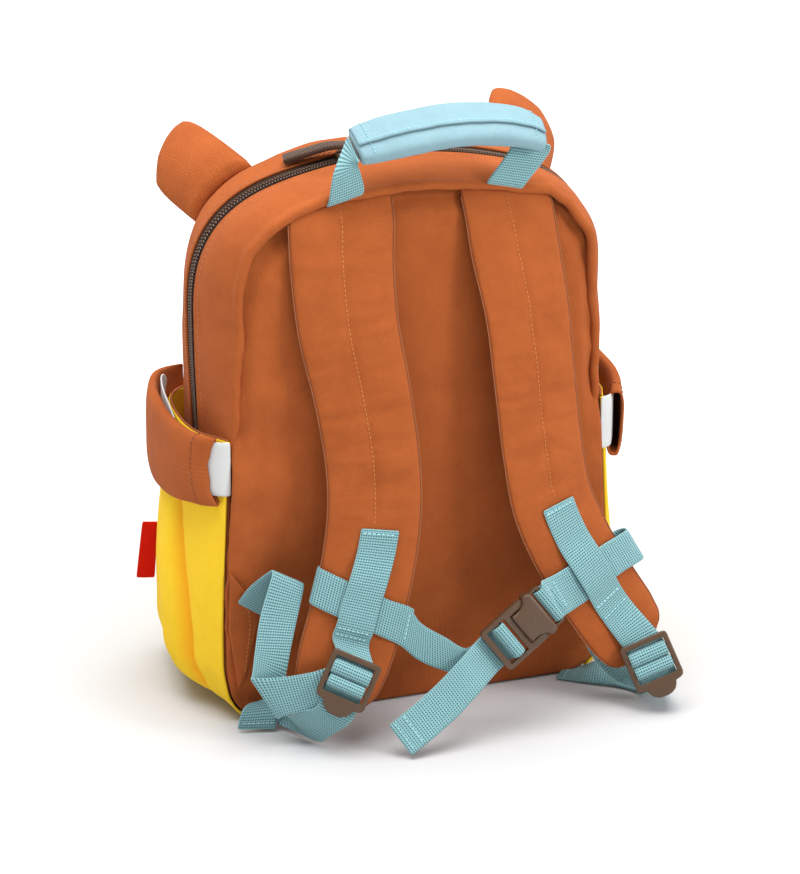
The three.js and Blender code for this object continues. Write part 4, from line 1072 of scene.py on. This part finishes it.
def moulded(name, right_half, thickness, windows, soften, frame):
    """A moulded plate in its frame: both halves of an outline, with windows (start, end) and round edges."""
    outline = right_half + [(-x, y) for x, y in right_half[::-1]]
    bpy.ops.object.select_all(action="DESELECT")
    bpy.ops.mesh.primitive_circle_add(vertices=len(outline), fill_type="NGON")
    plate = bpy.context.object
    plate.name = name
    plate.data.name = name
    for vertex, (x, y) in zip(plate.data.vertices, outline):
        vertex.co = Vector((x, y, 0)) * MM
    wall = plate.modifiers.new("wall", "SOLIDIFY")
    wall.thickness = thickness * MM
    wall.offset = 0
    apply_all(plate)
    for start, end in windows:
        bpy.ops.mesh.primitive_cube_add(size=1)
        cutter = bpy.context.object
        cutter.location = Vector((0, (start + end) / 2, 0)) * MM
        cutter.scale = Vector((2 * WINDOW_HALF, end - start, 3 * thickness)) * MM
        cut = plate.modifiers.new("window", "BOOLEAN")
        cut.operation = "DIFFERENCE"
        cut.object = cutter
        bpy.context.view_layer.update()
        apply_all(plate)
        bpy.data.objects.remove(cutter)
    edge = plate.modifiers.new("edge", "BEVEL")
    edge.width = soften * MM
    edge.segments = 3
    edge.limit_method = "ANGLE"
    edge.angle_limit = math.radians(40)
    apply_all(plate)
    axes = Matrix((frame["across"], frame["down"], frame["out"])).transposed().to_4x4()
    plate.data.transform(Matrix.Translation(frame["origin"] * MM) @ axes)
    plate.data.flip_normals()
    mend()
    return plate


def finish_plastic(piece, *nodes):
    dress(piece, brown_plastic, "brown_plastic", *nodes)
    select_only(piece)
    bpy.ops.object.shade_smooth_by_angle(angle=math.radians(35))


locks = {
    "left": mould_frame((-53, -99, 52), (-15, -4, -28.5), (0.72, -0.45, -0.45)),
    "right": mould_frame((106.5, -99.5, 38.5), (0.267, -0.43, -0.862), (0.878, -0.143, 0.457)),
}
for side, lock in locks.items():
    plate = moulded(f"ladder_lock_{side}_frame", LOCK_OUTLINE, LOCK_THICK, LOCK_WINDOWS, 0.8, lock)
    finish_plastic(plate, f"ladder_lock_{side}")

# Chest buckle: a moulded plug with an adjuster and two prongs, pressed into a rounded socket that is
# sewn into the right half of the chest strap.
buckle = mould_frame((20, -104.5, 46), (0.81, 0.05, 0.58), (-0.5, 0.25, 0.83))
PLUG_OUTLINE = [(11, 0), (12.5, 0.5), (13, 2), (13, 26.8), (12, 28), (10.4, 28), (9.4, 26.8), (9.4, 18)]
SOCKET_OUTLINE = [(9, 18.3), (8.5, 21), (8.8, 24.5), (10.6, 28), (13, 28.6), (13.2, 31), (12.6, 33), (11, 34)]
LOOP_OUTLINE = [(12, 30), (12, 39), (11, 40)]
plug = moulded("buckle_plug_frame", PLUG_OUTLINE, 4, [(3, 8.4), (11, 15)], 0.8, buckle)
finish_plastic(plug, "buckle_plug")
socket = moulded("buckle_socket_body", SOCKET_OUTLINE, 8, [], 1.8, buckle)
finish_plastic(socket, "buckle_socket")
finish_plastic(moulded("buckle_socket_loop", LOOP_OUTLINE, LOCK_THICK, [(34, 37.4)], 0.8, buckle))

# Strap webbing: 20 mm teal webbing sewn on each strap, lifted over the chest strap, and round the first
# bar of its ladder lock.
CHEST_Z = {"left": 73.5, "right": 75.5}
CHEST_LEAN = 5
CHEST_SLACK = {"left": 1.4, "right": 8}
CHEST_COVER = {"reach": 14, "lift": 2.3}
STRAP_FLAT = STRAP_HALF_THICK + 0.3 + WEBBING_THICK / 2
STRAP_WEBBING_Z = {"left": [114, 101, 87, 75, 63, 55.5], "right": [114.5, 106, 93.5, 82, 70, 60, 50]}
STRAP_WEBBING_LEAN = {"left": 3.2, "right": 0}
STRAP_SEWN = {"left": [3, 7], "right": [4, 12]}
LOCK_FILL = 10.6
LOCK_UNDER = LOCK_THICK / 2 + 0.3 + WEBBING_THICK / 2
# The way round the lock's first bar: down the lock and out of it
LOCK_WRAP = [
    (3.2, -LOCK_UNDER), (4.4, 0.7 - LOCK_UNDER), (5.2, 0), (6.4, LOCK_UNDER - 0.2), (8.7, LOCK_UNDER),
    (11, LOCK_UNDER - 0.3), (12.1, 0.6), (12.2, -1.4),
]


def webbing_weave(name, ground, dash, across=1.3, along=1.45):
    """Woven webbing: ribs along it and a grid of short darker dashes where the weft shows."""
    look = {"Roughness": 0.7, "Sheen Weight": 0.15, "Specular IOR Level": 0.3}
    material, shader, link = new_material(name, look)
    place = add_node(material, "TexCoord").outputs["UV"]
    dashes = add_node(material, "Math")
    dashes.operation = "MULTIPLY"
    threads = (("X", across, 0.12, 0.55), ("Y", along, 0.4, 0.75))
    for k, (direction, pitch, low, high) in enumerate(threads):
        edge = add_node(material, "MapRange", {"From Min": low, "From Max": high})
        edge.interpolation_type = "SMOOTHSTEP"
        link(thread_wave(material, place, direction, pitch, {"Distortion": 0.35}), edge.inputs["Value"])
        link(edge.outputs["Result"], dashes.inputs[k])
    paint = colour_mix(material, dashes.outputs[0], {"A": (*ground, 1), "B": (*dash, 1)})
    link(paint.outputs["Result"], shader.inputs["Base Color"])
    height = add_node(material, "Math", {0: 1})
    height.operation = "SUBTRACT"
    link(dashes.outputs[0], height.inputs[1])
    relief = add_node(material, "Bump", {"Strength": 0.7, "Distance": 0.0006})
    link(height.outputs[0], relief.inputs["Height"])
    link(relief.outputs["Normal"], shader.inputs["Normal"])
    return material


teal_webbing = webbing_weave("teal_webbing", (0.225, 0.425, 0.445), (0.02, 0.1, 0.122))
blue_thread = plain_material("blue_thread", (0.42, 0.72, 0.78), 0.6)


def edged(rows):
    """A route through pairs of edge places, for webbing that folds or turns in its own plane."""
    left, right = (through([row[k] for row in rows]) for k in (0, 1))
    line = (left + right) / 2
    run = running(line)
    return {
        "line": line, "along": unit_rows(np.gradient(line, axis=0)), "across": unit_rows(right - left),
        "run": run, "length": run[-1], "wide": np.linalg.norm(right - left, axis=1),
    }


def edges_of(row, half=WEBBING / 2):
    place, across = Vector(row[0]), Vector(row[1]).normalized() * half
    return place - across, place + across


def band(name, path, material, slot, *nodes, width=WEBBING, thickness=WEBBING_THICK, spacing=2.2):
    """A band of webbing along a route, with rounded edges."""
    count = max(6, round(path["length"] / spacing))
    steps = [path["length"] * k / count for k in range(count + 1)]
    frames = [route_at(path, step) for step in steps]
    widths = [np.interp(step, path["run"], path["wide"]) if "wide" in path else width for step in steps]

    def place(s, t):
        centre, along, across, out = frames[round(t * count)]
        return centre + across * ((s - 0.5) * widths[round(t * count)])

    piece = cloth_grid(name, 8, count, place, (width, path["length"]))
    thicken(piece, thickness, offset=0, rounds=1)
    dress(piece, material, slot, *nodes)


def teal_band(node, path, spacing):
    band(f"{node}_band", path, teal_webbing, "teal_webbing", node, spacing=spacing)


def sewn_rows(name, path, distances, reach=8.6, face=1):
    """Rows of light stitches across a band at distances along it."""
    frames = []
    for distance in distances:
        centre, along, across, out = route_at(path, distance)
        surface = centre + out * (face * (WEBBING_THICK / 2 + 0.12))
        points = [surface + across * a for a in (-reach, reach)]
        frames += stitch_frames(points, [out * face] * 2, FINE_STITCH, 0.7)
    dress(copies_of(name, fine_stitch, frames), blue_thread, "teal_webbing")


def strap_row(side, z, across, out, lean=0.0):
    """A place over a strap at a height: millimetres across and out of its middle, and its axes."""
    path = strap_paths[side]
    distance = np.interp(-z, -path["line"][:, 2], path["run"])
    centre, along, turn, facing = route_at(path, distance)
    half = np.interp(distance, path["run"], path["half"])
    return centre + turn * across + facing * out + along * (lean * across / half), turn, along, half


for side, lock in locks.items():
    rows = []
    for z in STRAP_WEBBING_Z[side]:
        over = CHEST_COVER["lift"] if abs(z - CHEST_Z[side]) < CHEST_COVER["reach"] else 0
        lean = STRAP_WEBBING_LEAN[side] * smooth_step(z, 72, 114)
        place, turn, along, half = strap_row(side, z, lean, STRAP_FLAT + over)
        rows.append(edges_of((place, turn)))
    rows += [edges_of(mould_row(lock, a, h), LOCK_FILL) for a, h in LOCK_WRAP]
    path = edged(rows)
    teal_band(f"strap_webbing_{side}", path, 1.4)
    lock_at = path["run"][ROW_STEPS * (len(STRAP_WEBBING_Z[side]) - 1)]
    sewn_rows(f"strap_webbing_{side}_stitches", path, [2.4] + [lock_at - d for d in STRAP_SEWN[side]])

# Chest strap: the same webbing looped round each strap. The left half runs through the plug's adjuster
# to a free tail that hangs to the floor; the right half is sewn round the socket's loop.


def strap_loop(side, sign, first, last):
    """Edges of the webbing on its way round a strap, a part of the loop from its inner side."""
    half = strap_row(side, CHEST_Z[side], 0, 0)[3]
    far = half + CHEST_SLACK[side]
    places = [
        (half + 5, -0.6), (half + 0.5, -3), (half * 0.6, -STRAP_FLAT), (-half * 0.6, -STRAP_FLAT),
        (1 - far, -2.8), (-far, 0), (1 - far, 2.8), (-half * 0.6, STRAP_FLAT), (half * 0.6, STRAP_FLAT),
    ]
    rows = [strap_row(side, CHEST_Z[side], sign * a, out, CHEST_LEAN) for a, out in places[first:last]]
    return [edges_of((row[0], row[2])) for row in rows]


BUCKLE_DOWN = -buckle["across"]
LEFT_ADJUSTER = [
    (-9, -5.6), (0, -4.8), (8, -4.6), (11.4, -4.2), (12.9, -2.4), (13, 0.8), (12.2, 2.8), (9.8, 3.4),
    (7.2, 2.5), (6.3, 0), (5, -2.4), (2.4, -3.2), (-1, -3.1), (-6, -2.2),
]
LEFT_TAIL = [
    ((4, -109, 36), (0.48, -0.35, -0.8)),
    ((-10, -112, 25.5), (0.46, -0.45, -0.76)),
    ((-24, -114, 16.5), (0.44, -0.54, -0.72)),
    ((-36, -115, 9.2), (0.43, -0.59, -0.68)),
]
RIGHT_LOOP = [
    (40.6, 3), (37.4, 2.7), (35.6, 1.6), (35.4, -0.6), (36.8, -2.4), (38.8, -2.8), (41, -2.6), (45, -3),
]
# Upper and lower edge of each half between its strap and the buckle
LEFT_SPAN = [
    ((-22.0, -90, 72.0), (-27.5, -91.5, 51.5)),
    ((-15.7, -91, 62.5), (-18.1, -93, 42.7)),
    ((-3.9, -95, 54.5), (-3.3, -98, 35.7)),
]
RIGHT_SPAN = [
    ((68.8, -88.6, 82.3), (80.6, -90, 62.3)),
    ((59.8, -91, 79.6), (71.0, -92.5, 58.7)),
    ((51.1, -97, 80.1), (63.0, -98, 58.3)),
    ((46.8, -102, 81.2), (58.5, -102, 58.9)),
]


def buckle_rows(places):
    return [edges_of((mould_row(buckle, a, h)[0], BUCKLE_DOWN)) for a, h in places]


left_chest = strap_loop("left", 1, 0, 9) + LEFT_SPAN + buckle_rows(LEFT_ADJUSTER)
left_chest = edged(left_chest + [edges_of(row) for row in LEFT_TAIL])
right_chest = edged(strap_loop("right", -1, 2, 8) + RIGHT_SPAN + buckle_rows(RIGHT_LOOP))
teal_band("chest_strap_left", left_chest, 1.6)
teal_band("chest_strap_right", right_chest, 1.6)
# Points of each half's smooth line where it is sewn
LEFT_SEWN = 219
RIGHT_SEWN = [182, 206]
left_end = left_chest["length"]
sewn_rows("chest_strap_left_stitches", left_chest, [left_chest["run"][LEFT_SEWN]], reach=7.5, face=-1)
sewn_rows("chest_strap_left_tail_stitches", left_chest, [left_end - 9, left_end - 3])
sewn_rows("chest_strap_right_stitches", right_chest, [right_chest["run"][k] for k in RIGHT_SEWN])

# Corner wings: triangles of folded brown cloth sewn on the lower corners of the back panel, which hold
# the ends of the lower webbing.
WING = [((106.4, 87), (95, 71)), ((107.4, 55), (91.5, 58)), ((103, 20), (99, 26))]
for side, sign in (("left", -1), ("right", 1)):
    def wing_place(s, t, sign=sign):
        seam_x, seam_z, edge_x, edge_z = (
            np.interp(t, [0, 0.5, 1], [row[e][k] for row in WING]) for e in (0, 1) for k in (0, 1)
        )
        x, z = seam_x + (edge_x - seam_x) * s, seam_z + (edge_z - seam_z) * s
        y = BACK_Y - PANEL_RIM - swelling(x, z, BACK_DOME) - 3.3
        return sign * x, y - 0.5 * math.sin(math.pi * s) + crumple((x, 3, z), 9, 0.5), z

    sheet(
        f"corner_wing_{side}_cloth", 12, 36, wing_place, (16, 70), (0, 100, 60), 2.8,
        brown_cloth, "brown_cloth", f"corner_wing_{side}", rounds=1,
    )
    row = [Vector(wing_place(0.72, t)) + Vector((0, -0.35, 0)) for t in np.linspace(0.06, 0.92, 40)]
    fine_row(f"corner_wing_{side}_stitches", row, [(0, -1, 0)] * 40, 0.9, orange_thread)

# Lower webbing: from each wing through its ladder lock, with a free tail that lies on the floor. The
# left one is folded over before it gets to its lock.
LOCK_PASS = [
    (24, -6.4), (18, -5), (14.4, -3.6), (13.4, -1.6), (13.4, 1.4), (14.5, 2.4), (16.5, 2.5), (18.1, 2.4),
    (19, 1.2), (19.4, -1.2), (21.4, -2.6), (26, -3), (32, -3.2),
]
LOWER_IN = {
    "left": [
        ((-95.4, -52.5, 65.5), (0.82, 0, -0.57)),
        ((-90, -59, 77), (0.85, 0, -0.53)),
        ((-81.8, -66, 87), (0.86, 0, -0.5)),
        ((-80.4, -67.8, 88.6), (0.86, 0, -0.5)),
        ((-81, -69.6, 87.2), (0.86, 0, -0.5)),
    ],
    "right": [
        ((95.4, -52.5, 64.5), (0.82, 0, 0.57)),
        ((94, -60, 48), (0.85, 0, 0.53)),
        ((97, -70, 28), (0.9, -0.1, 0.4)),
        ((104, -82, 15.5), (0.85, 0.3, 0.3)),
        ((110, -92, 13), (0.88, 0.2, 0.35)),
    ],
}
# The left one's edges where it is folded over behind the lock, and where its tail curls to the floor
LEFT_FOLD = [
    ((-97.9, -74, 71.1), (-78.1, -74.5, 66.1)),
    ((-102.2, -78, 54.8), (-83.1, -78.5, 51)),
    ((-105.5, -82, 42.1), (-91.4, -82.6, 17.2)),
    ((-106.5, -82.9, 40.8), (-92.3, -83.5, 15.9)),
    ((-105.9, -83.8, 41.8), (-91.5, -84.4, 17.1)),
    ((-97.6, -85, 41.3), (-89.7, -86.5, 18.9)),
    ((-86.5, -87.5, 41.8), (-81.5, -90, 21.7)),
    ((-75.6, -91, 43.8), (-71.7, -95, 25.7)),
    ((-66.2, -92.5, 45.3), (-65.8, -97, 29)),
]
LEFT_TAIL_EDGES = [
    ((-82, -88, 21.2), (-66.9, -96, 8.6)),
    ((-84.3, -78, 14.6), (-70.5, -87.5, 1.8)),
    ((-79.5, -59.5, 11.8), (-78.5, -74.5, 2.6)),
    ((-72, -52, 8.4), (-86.2, -61, 3.9)),
    ((-73.6, -51, 13), (-90.6, -58, 9.7)),
    ((-77.4, -52, 15), (-95.9, -57, 15.2)),
    ((-82.4, -57, 13.4), (-101.9, -58, 14.4)),
    ((-86, -63, 9.1), (-105.3, -59, 9.1)),
    ((-87.2, -64.2, 1.4), (-106.3, -57.6, 1.4)),
]
RIGHT_TAIL_EDGES = [
    ((106.2, -106.5, 10.6), (125.4, -105, 15.6)),
    ((107.6, -98.5, 5.8), (126.4, -94, 9.6)),
    ((111, -85, 1), (126.5, -73, 5)),
    ((104, -75, 1.2), (116, -60.5, 6.4)),
    ((95, -68.2, 1.2), (103.6, -52.4, 7.6)),
    ((84, -59.5, 1.2), (95.6, -43.4, 1.2)),
    ((76.5, -53.4, 1.2), (88.6, -37.6, 1.2)),
]
for side, lock in locks.items():
    rows = [edges_of(row) for row in LOWER_IN[side]]
    if side == "left":
        passing = [edges_of(mould_row(lock, a, h)) for a, h in LOCK_PASS[1:]]
        rows += LEFT_FOLD + passing + LEFT_TAIL_EDGES
    else:
        passing = [edges_of(mould_row(lock, a, h), LOCK_FILL) for a, h in LOCK_PASS[:-1]]
        rows += passing + RIGHT_TAIL_EDGES
    path = edged(rows)
    teal_band(f"lower_webbing_{side}", path, 1.6)
    for name, face in (("outer", 1), ("inner", -1)):
        sewn_rows(f"lower_webbing_{side}_{name}_stitches", path, [path["length"] - 4], face=face)

# Carry handle: two ends of the webbing sewn into the back seam, joined by a padded grip of light-blue
# cloth whose upper layer is folded over the lower one and stitched along the fold.
GRIP = [
    (-36, -50, 308.5), (-24, -50.5, 311), (-4, -51, 314), (18, -51, 315.5), (38, -51, 314),
    (54, -50.5, 310.5), (64, -50, 306),
]
GRIP_ACROSS = (0, 0.87, 0.5)
GRIP_HALF_WIDTH = 13
GRIP_HALF_THICK = 5
GRIP_TAPER = 0.18
GRIP_SQUARE = 0.62
blue_cloth = woven_cloth("light_blue_cloth", (0.255, 0.395, 0.44), (0.2, 0.33, 0.375))
grip_path = route([(place, GRIP_ACROSS) for place in GRIP])


def rounded_share(angle, square):
    """Share across and out at an angle round a flat rounded section."""
    c, s = math.cos(angle), math.sin(angle)
    return math.copysign(abs(c) ** square, c), math.copysign(abs(s) ** square, s)


def grip_point(t, angle, grow=0.0):
    centre, along, across, out = route_at(grip_path, t * grip_path["length"])
    full = 1 - GRIP_TAPER * abs(2 * t - 1) ** 6
    a, o = rounded_share(angle, GRIP_SQUARE)
    wide = GRIP_HALF_WIDTH * full + grow
    thick = GRIP_HALF_THICK * full + grow + crumple((t * 100, a * 5, o * 3), 8, 0.5)
    return centre + across * (a * wide) + out * (o * thick)


def tube(name, around, rows, place, size, ends=True):
    """A closed band of cloth round a form: s goes round it and t along it; its ends may be filled."""
    piece = cloth_grid(name, around, rows, place, size)
    mend(weld=0.00002, fill=ends)
    return piece


grip = tube("handle_grip_pad", 40, 80, lambda s, t: grip_point(t, 2 * math.pi * s), (60, grip_path["length"]))
dress(grip, blue_cloth, "light_blue_cloth", "handle_grip")

FLAP_FROM = math.radians(-40)
FLAP_TO = math.radians(97)


def flap_place(s, t):
    lip = 0.5 * smooth_step(s, 0.93, 1)
    return grip_point(0.004 + 0.992 * t, FLAP_FROM + (FLAP_TO - FLAP_FROM) * s, 1.0 + lip)


sheet(
    "handle_grip_flap", 40, 80, flap_place, (30, grip_path["length"]), (14, -51, 312), 0.9,
    blue_cloth, "light_blue_cloth",
)
FOLD_STITCH_TURN = math.radians(92.5)


def grip_stitches(places):
    """A row of fine stitches over places on the grip: share along it, angle round it and height over it."""
    row = [grip_point(t, turn, grow) for t, turn, grow in places]
    outs = [grip_point(t, turn, 3) - grip_point(t, turn, 2) for t, turn, grow in places]
    return stitch_frames(row, outs, FINE_STITCH, 0.8)


grip_rows = grip_stitches([(t, FOLD_STITCH_TURN, 1.35) for t in np.linspace(0.02, 0.98, 60)])
for t in (0.065, 0.935):
    turns = np.linspace(math.radians(20), math.radians(160), 40)
    grip_rows += grip_stitches([(t, turn, 1.25 if turn < FLAP_TO else 0.25) for turn in turns])
deep_blue_thread = plain_material("deep_blue_thread", (0.26, 0.52, 0.6), 0.6)
dress(copies_of("handle_grip_stitches", fine_stitch, grip_rows), deep_blue_thread, "light_blue_cloth")

# Left and right edge of each webbing end, from the seam up to the grip
HANDLE_ENDS = {
    "left": [
        ((-51.6, -48.4, 278.6), (-32.2, -48.4, 283.2)),
        ((-51.2, -50.8, 281.8), (-31.8, -50.8, 286.6)),
        ((-49.9, -53.5, 295.5), (-35.8, -53.5, 299.6)),
        ((-48.6, -52.6, 298.6), (-36.4, -54, 300.6)),
        ((-37.6, -41.8, 313.4), (-37.2, -58.2, 303.4)),
    ],
    "right": [
        ((35.2, -48.4, 282.8), (55.2, -48.4, 277.8)),
        ((35.8, -50.8, 286), (56, -50.8, 281)),
        ((47.2, -51, 301.4), (68.2, -52.5, 296.8)),
        ((52.5, -46.5, 309), (68.2, -55.5, 301.5)),
    ],
}
for side, rows in HANDLE_ENDS.items():
    teal_band(f"handle_webbing_{side}", edged(rows), 1.2)

# Arms: brown cloth sleeves that stand off the sides over the pocket edge, hemmed and open behind, with
# white elastic from the back seam inside.
# Rows from the front bend to the rear: x and y of the middle, lower and upper z, and half the depth
ARM = [
    (97, 61.5, 128, 166, 2.2), (108.5, 56, 126, 167, 2.8), (116.5, 47, 124, 168, 3.4),
    (121.4, 36, 121, 167, 3.9), (124.6, 22, 118, 166, 4.2), (125.4, 4, 118, 163.5, 4.2),
    (124.2, -13, 119, 161.5, 4.2), (119.8, -28, 121, 160, 4), (114.8, -38.4, 122, 160, 3.8),
]
# The open end: the left one is drawn in to the bag, and the right one gapes
ARM_END = {"left": (110, -43, 122.5, 159.5, 2.8), "right": (112.6, -43.6, 122.5, 159.5, 4.4)}
ARM_ELASTIC = {
    "left": [
        (103.4, -45.4), (106.9, -45), (110.9, -42.4), (114.9, -38.4), (119.6, -28), (124.1, -13), (125.2, 2),
    ],
    "right": [
        (103.4, -45.4), (106.6, -44.6), (110.2, -42.7), (113.1, -37.6), (118.3, -27.4), (123.2, -13),
        (125, 2),
    ],
}
ARM_ELASTIC_Z = 143
# The elastic's other end, inside the arm's front bend, where its edge shows above the cloth
ARM_ELASTIC_INNER = [
    (111.6, 45.6, 159), (114.2, 40.6, 163.4), (117.2, 33.5, 164.6), (119.8, 21.4, 162.4), (120.6, 9, 158.6),
    (120.6, 0, 154),
]
ARM_END_DIP = 5
ARM_SQUARE = 0.6
HEM_STITCHES_FROM_END = 11
dark_thread = plain_material("dark_brown_thread", (0.2, 0.055, 0.018), 0.7)
white_elastic = woven_cloth("white_elastic", (0.64, 0.65, 0.64), (0.54, 0.55, 0.54), thread=0.9, depth=0.15)
for side, sign in (("left", -1), ("right", 1)):
    arm_rows = ARM + [ARM_END[side]]
    arm_path = route([((sign * r[0], r[1], (r[2] + r[3]) / 2), (0, 0, 1)) for r in arm_rows])
    arm_tall = by_rows(arm_path, [(r[3] - r[2]) / 2 for r in arm_rows])
    arm_deep = by_rows(arm_path, [r[4] for r in arm_rows])

    def arm_place(s, t, path=arm_path, tall_row=arm_tall, deep_row=arm_deep, sign=sign):
        distance = t * path["length"]
        a, o = rounded_share(2 * math.pi * s, ARM_SQUARE)
        dip = ARM_END_DIP * (1 - a * a) + crumple((a * 9, o * 4, sign * 5), 3.4, 1.6)
        centre, along, across, out = route_at(path, distance - dip * smooth_step(t, 0.8, 1))
        tall = np.interp(distance, path["run"], tall_row)
        deep = np.interp(distance, path["run"], deep_row) * min(1, 0.2 + t * 8)
        fold = crumple((a * 14, distance * 0.8, o * 2 + sign * 4), 15, 1.1) * min(1, t * 5)
        return centre + across * (a * tall) + out * (o * deep + fold * (0.4 + 0.6 * abs(o)))

    arm = tube(f"arm_{side}_cloth", 64, 60, arm_place, (104, arm_path["length"]), ends=False)
    thicken(arm, 1.2)
    dress(arm, brown_cloth, "brown_cloth", f"arm_{side}")
    stitched_at = 1 - HEM_STITCHES_FROM_END / arm_path["length"]
    row = [arm_place(s, stitched_at) for s in np.linspace(0, 1, 90)]
    middle = sum(row, Vector()) / len(row)
    seats = [arm.closest_point_on_mesh(q * MM) for q in row]
    row = [seat[1] / MM + seat[2] * 0.18 for seat in seats]
    fine_row(f"arm_{side}_stitches", row, [q - middle for q in row], 1.1, dark_thread)
    outer = [(x, y, ARM_ELASTIC_Z) for x, y in ARM_ELASTIC[side]]
    strips = (("band", outer, 30, [f"arm_elastic_{side}"]), ("inner", ARM_ELASTIC_INNER, 10, []))
    for name, places, width, nodes in strips:
        path = route([((sign * x, y, z), (0, 0, 1)) for x, y, z in places])
        band(
            f"arm_elastic_{side}_{name}", path, white_elastic, "white_elastic", *nodes,
            width=width, thickness=0.9,
        )

# Zip slider and pull: a moulded slider on the coil, and a pull of ribbed brown webbing lying to the left.
# The ribs on both faces of the pull are copies of one bead.
SLIDER_SHARE = 0.466
slider_seat = bag_point(SLIDER_SHARE, ZIP_MIDDLE, 2.3)
slider_heading = bag_point(SLIDER_SHARE + 0.01, ZIP_MIDDLE) - bag_point(SLIDER_SHARE - 0.01, ZIP_MIDDLE)
slider_frame = mould_frame(slider_seat, slider_heading, (0, 1, 0))
SLIDER_OUTLINE = [(2.2, -5.5), (3.5, -3.5), (3.5, 2), (2.4, 5.5)]
slider = moulded("zip_slider_body", SLIDER_OUTLINE, 3.4, [], 0.7, slider_frame)
finish_plastic(slider, "zip_slider")
PULL = [(0.467, -6.5, 6.4), (0.456, -4, 6.8), (0.441, -0.5, 4.8), (0.4265, 3, 3.2)]
pull_path = route([(bag_point(u, y, lift), (0, 1, 0)) for u, y, lift in PULL])
ribbed_webbing = webbing_weave(
    "ribbed_webbing", (0.075, 0.038, 0.022), (0.018, 0.01, 0.007), across=4, along=1.5,
)
band("zip_pull_band", pull_path, ribbed_webbing, "zip_tape", "zip_pull", width=9, thickness=2.8, spacing=1.2)
pull_ribs = []
for distance in np.arange(1.5, pull_path["length"] - 1, 1.9):
    centre, along, across, out = route_at(pull_path, distance)
    pull_ribs += [(centre + out * (face * 1.3), across + along * 0.3, out * face) for face in (1, -1)]
ribs = copies_of("zip_pull_ribs", small_bead(9.4, 1.6, 1.1), pull_ribs)
dress(ribs, ribbed_webbing, "zip_tape")

# Side tag: a small folded tag of red cloth, bare, sewn into the left pocket's front seam. It stands out
# from the bag to the left.
TAG = [
    ((-119, 46.2, 66), (0.12, 0, 1)),
    ((-124, 46.5, 66.4), (0.14, 0, 1)),
    ((-128.5, 46.9, 67), (0.16, 0, 1)),
]
red_cloth = woven_cloth("red_tag_cloth", (0.64, 0.012, 0.002), (0.52, 0.007, 0.001), thread=0.5, depth=0.2)
band("side_tag_cloth", route(TAG), red_cloth, "red_tag_cloth", "side_tag", width=33, spacing=1)
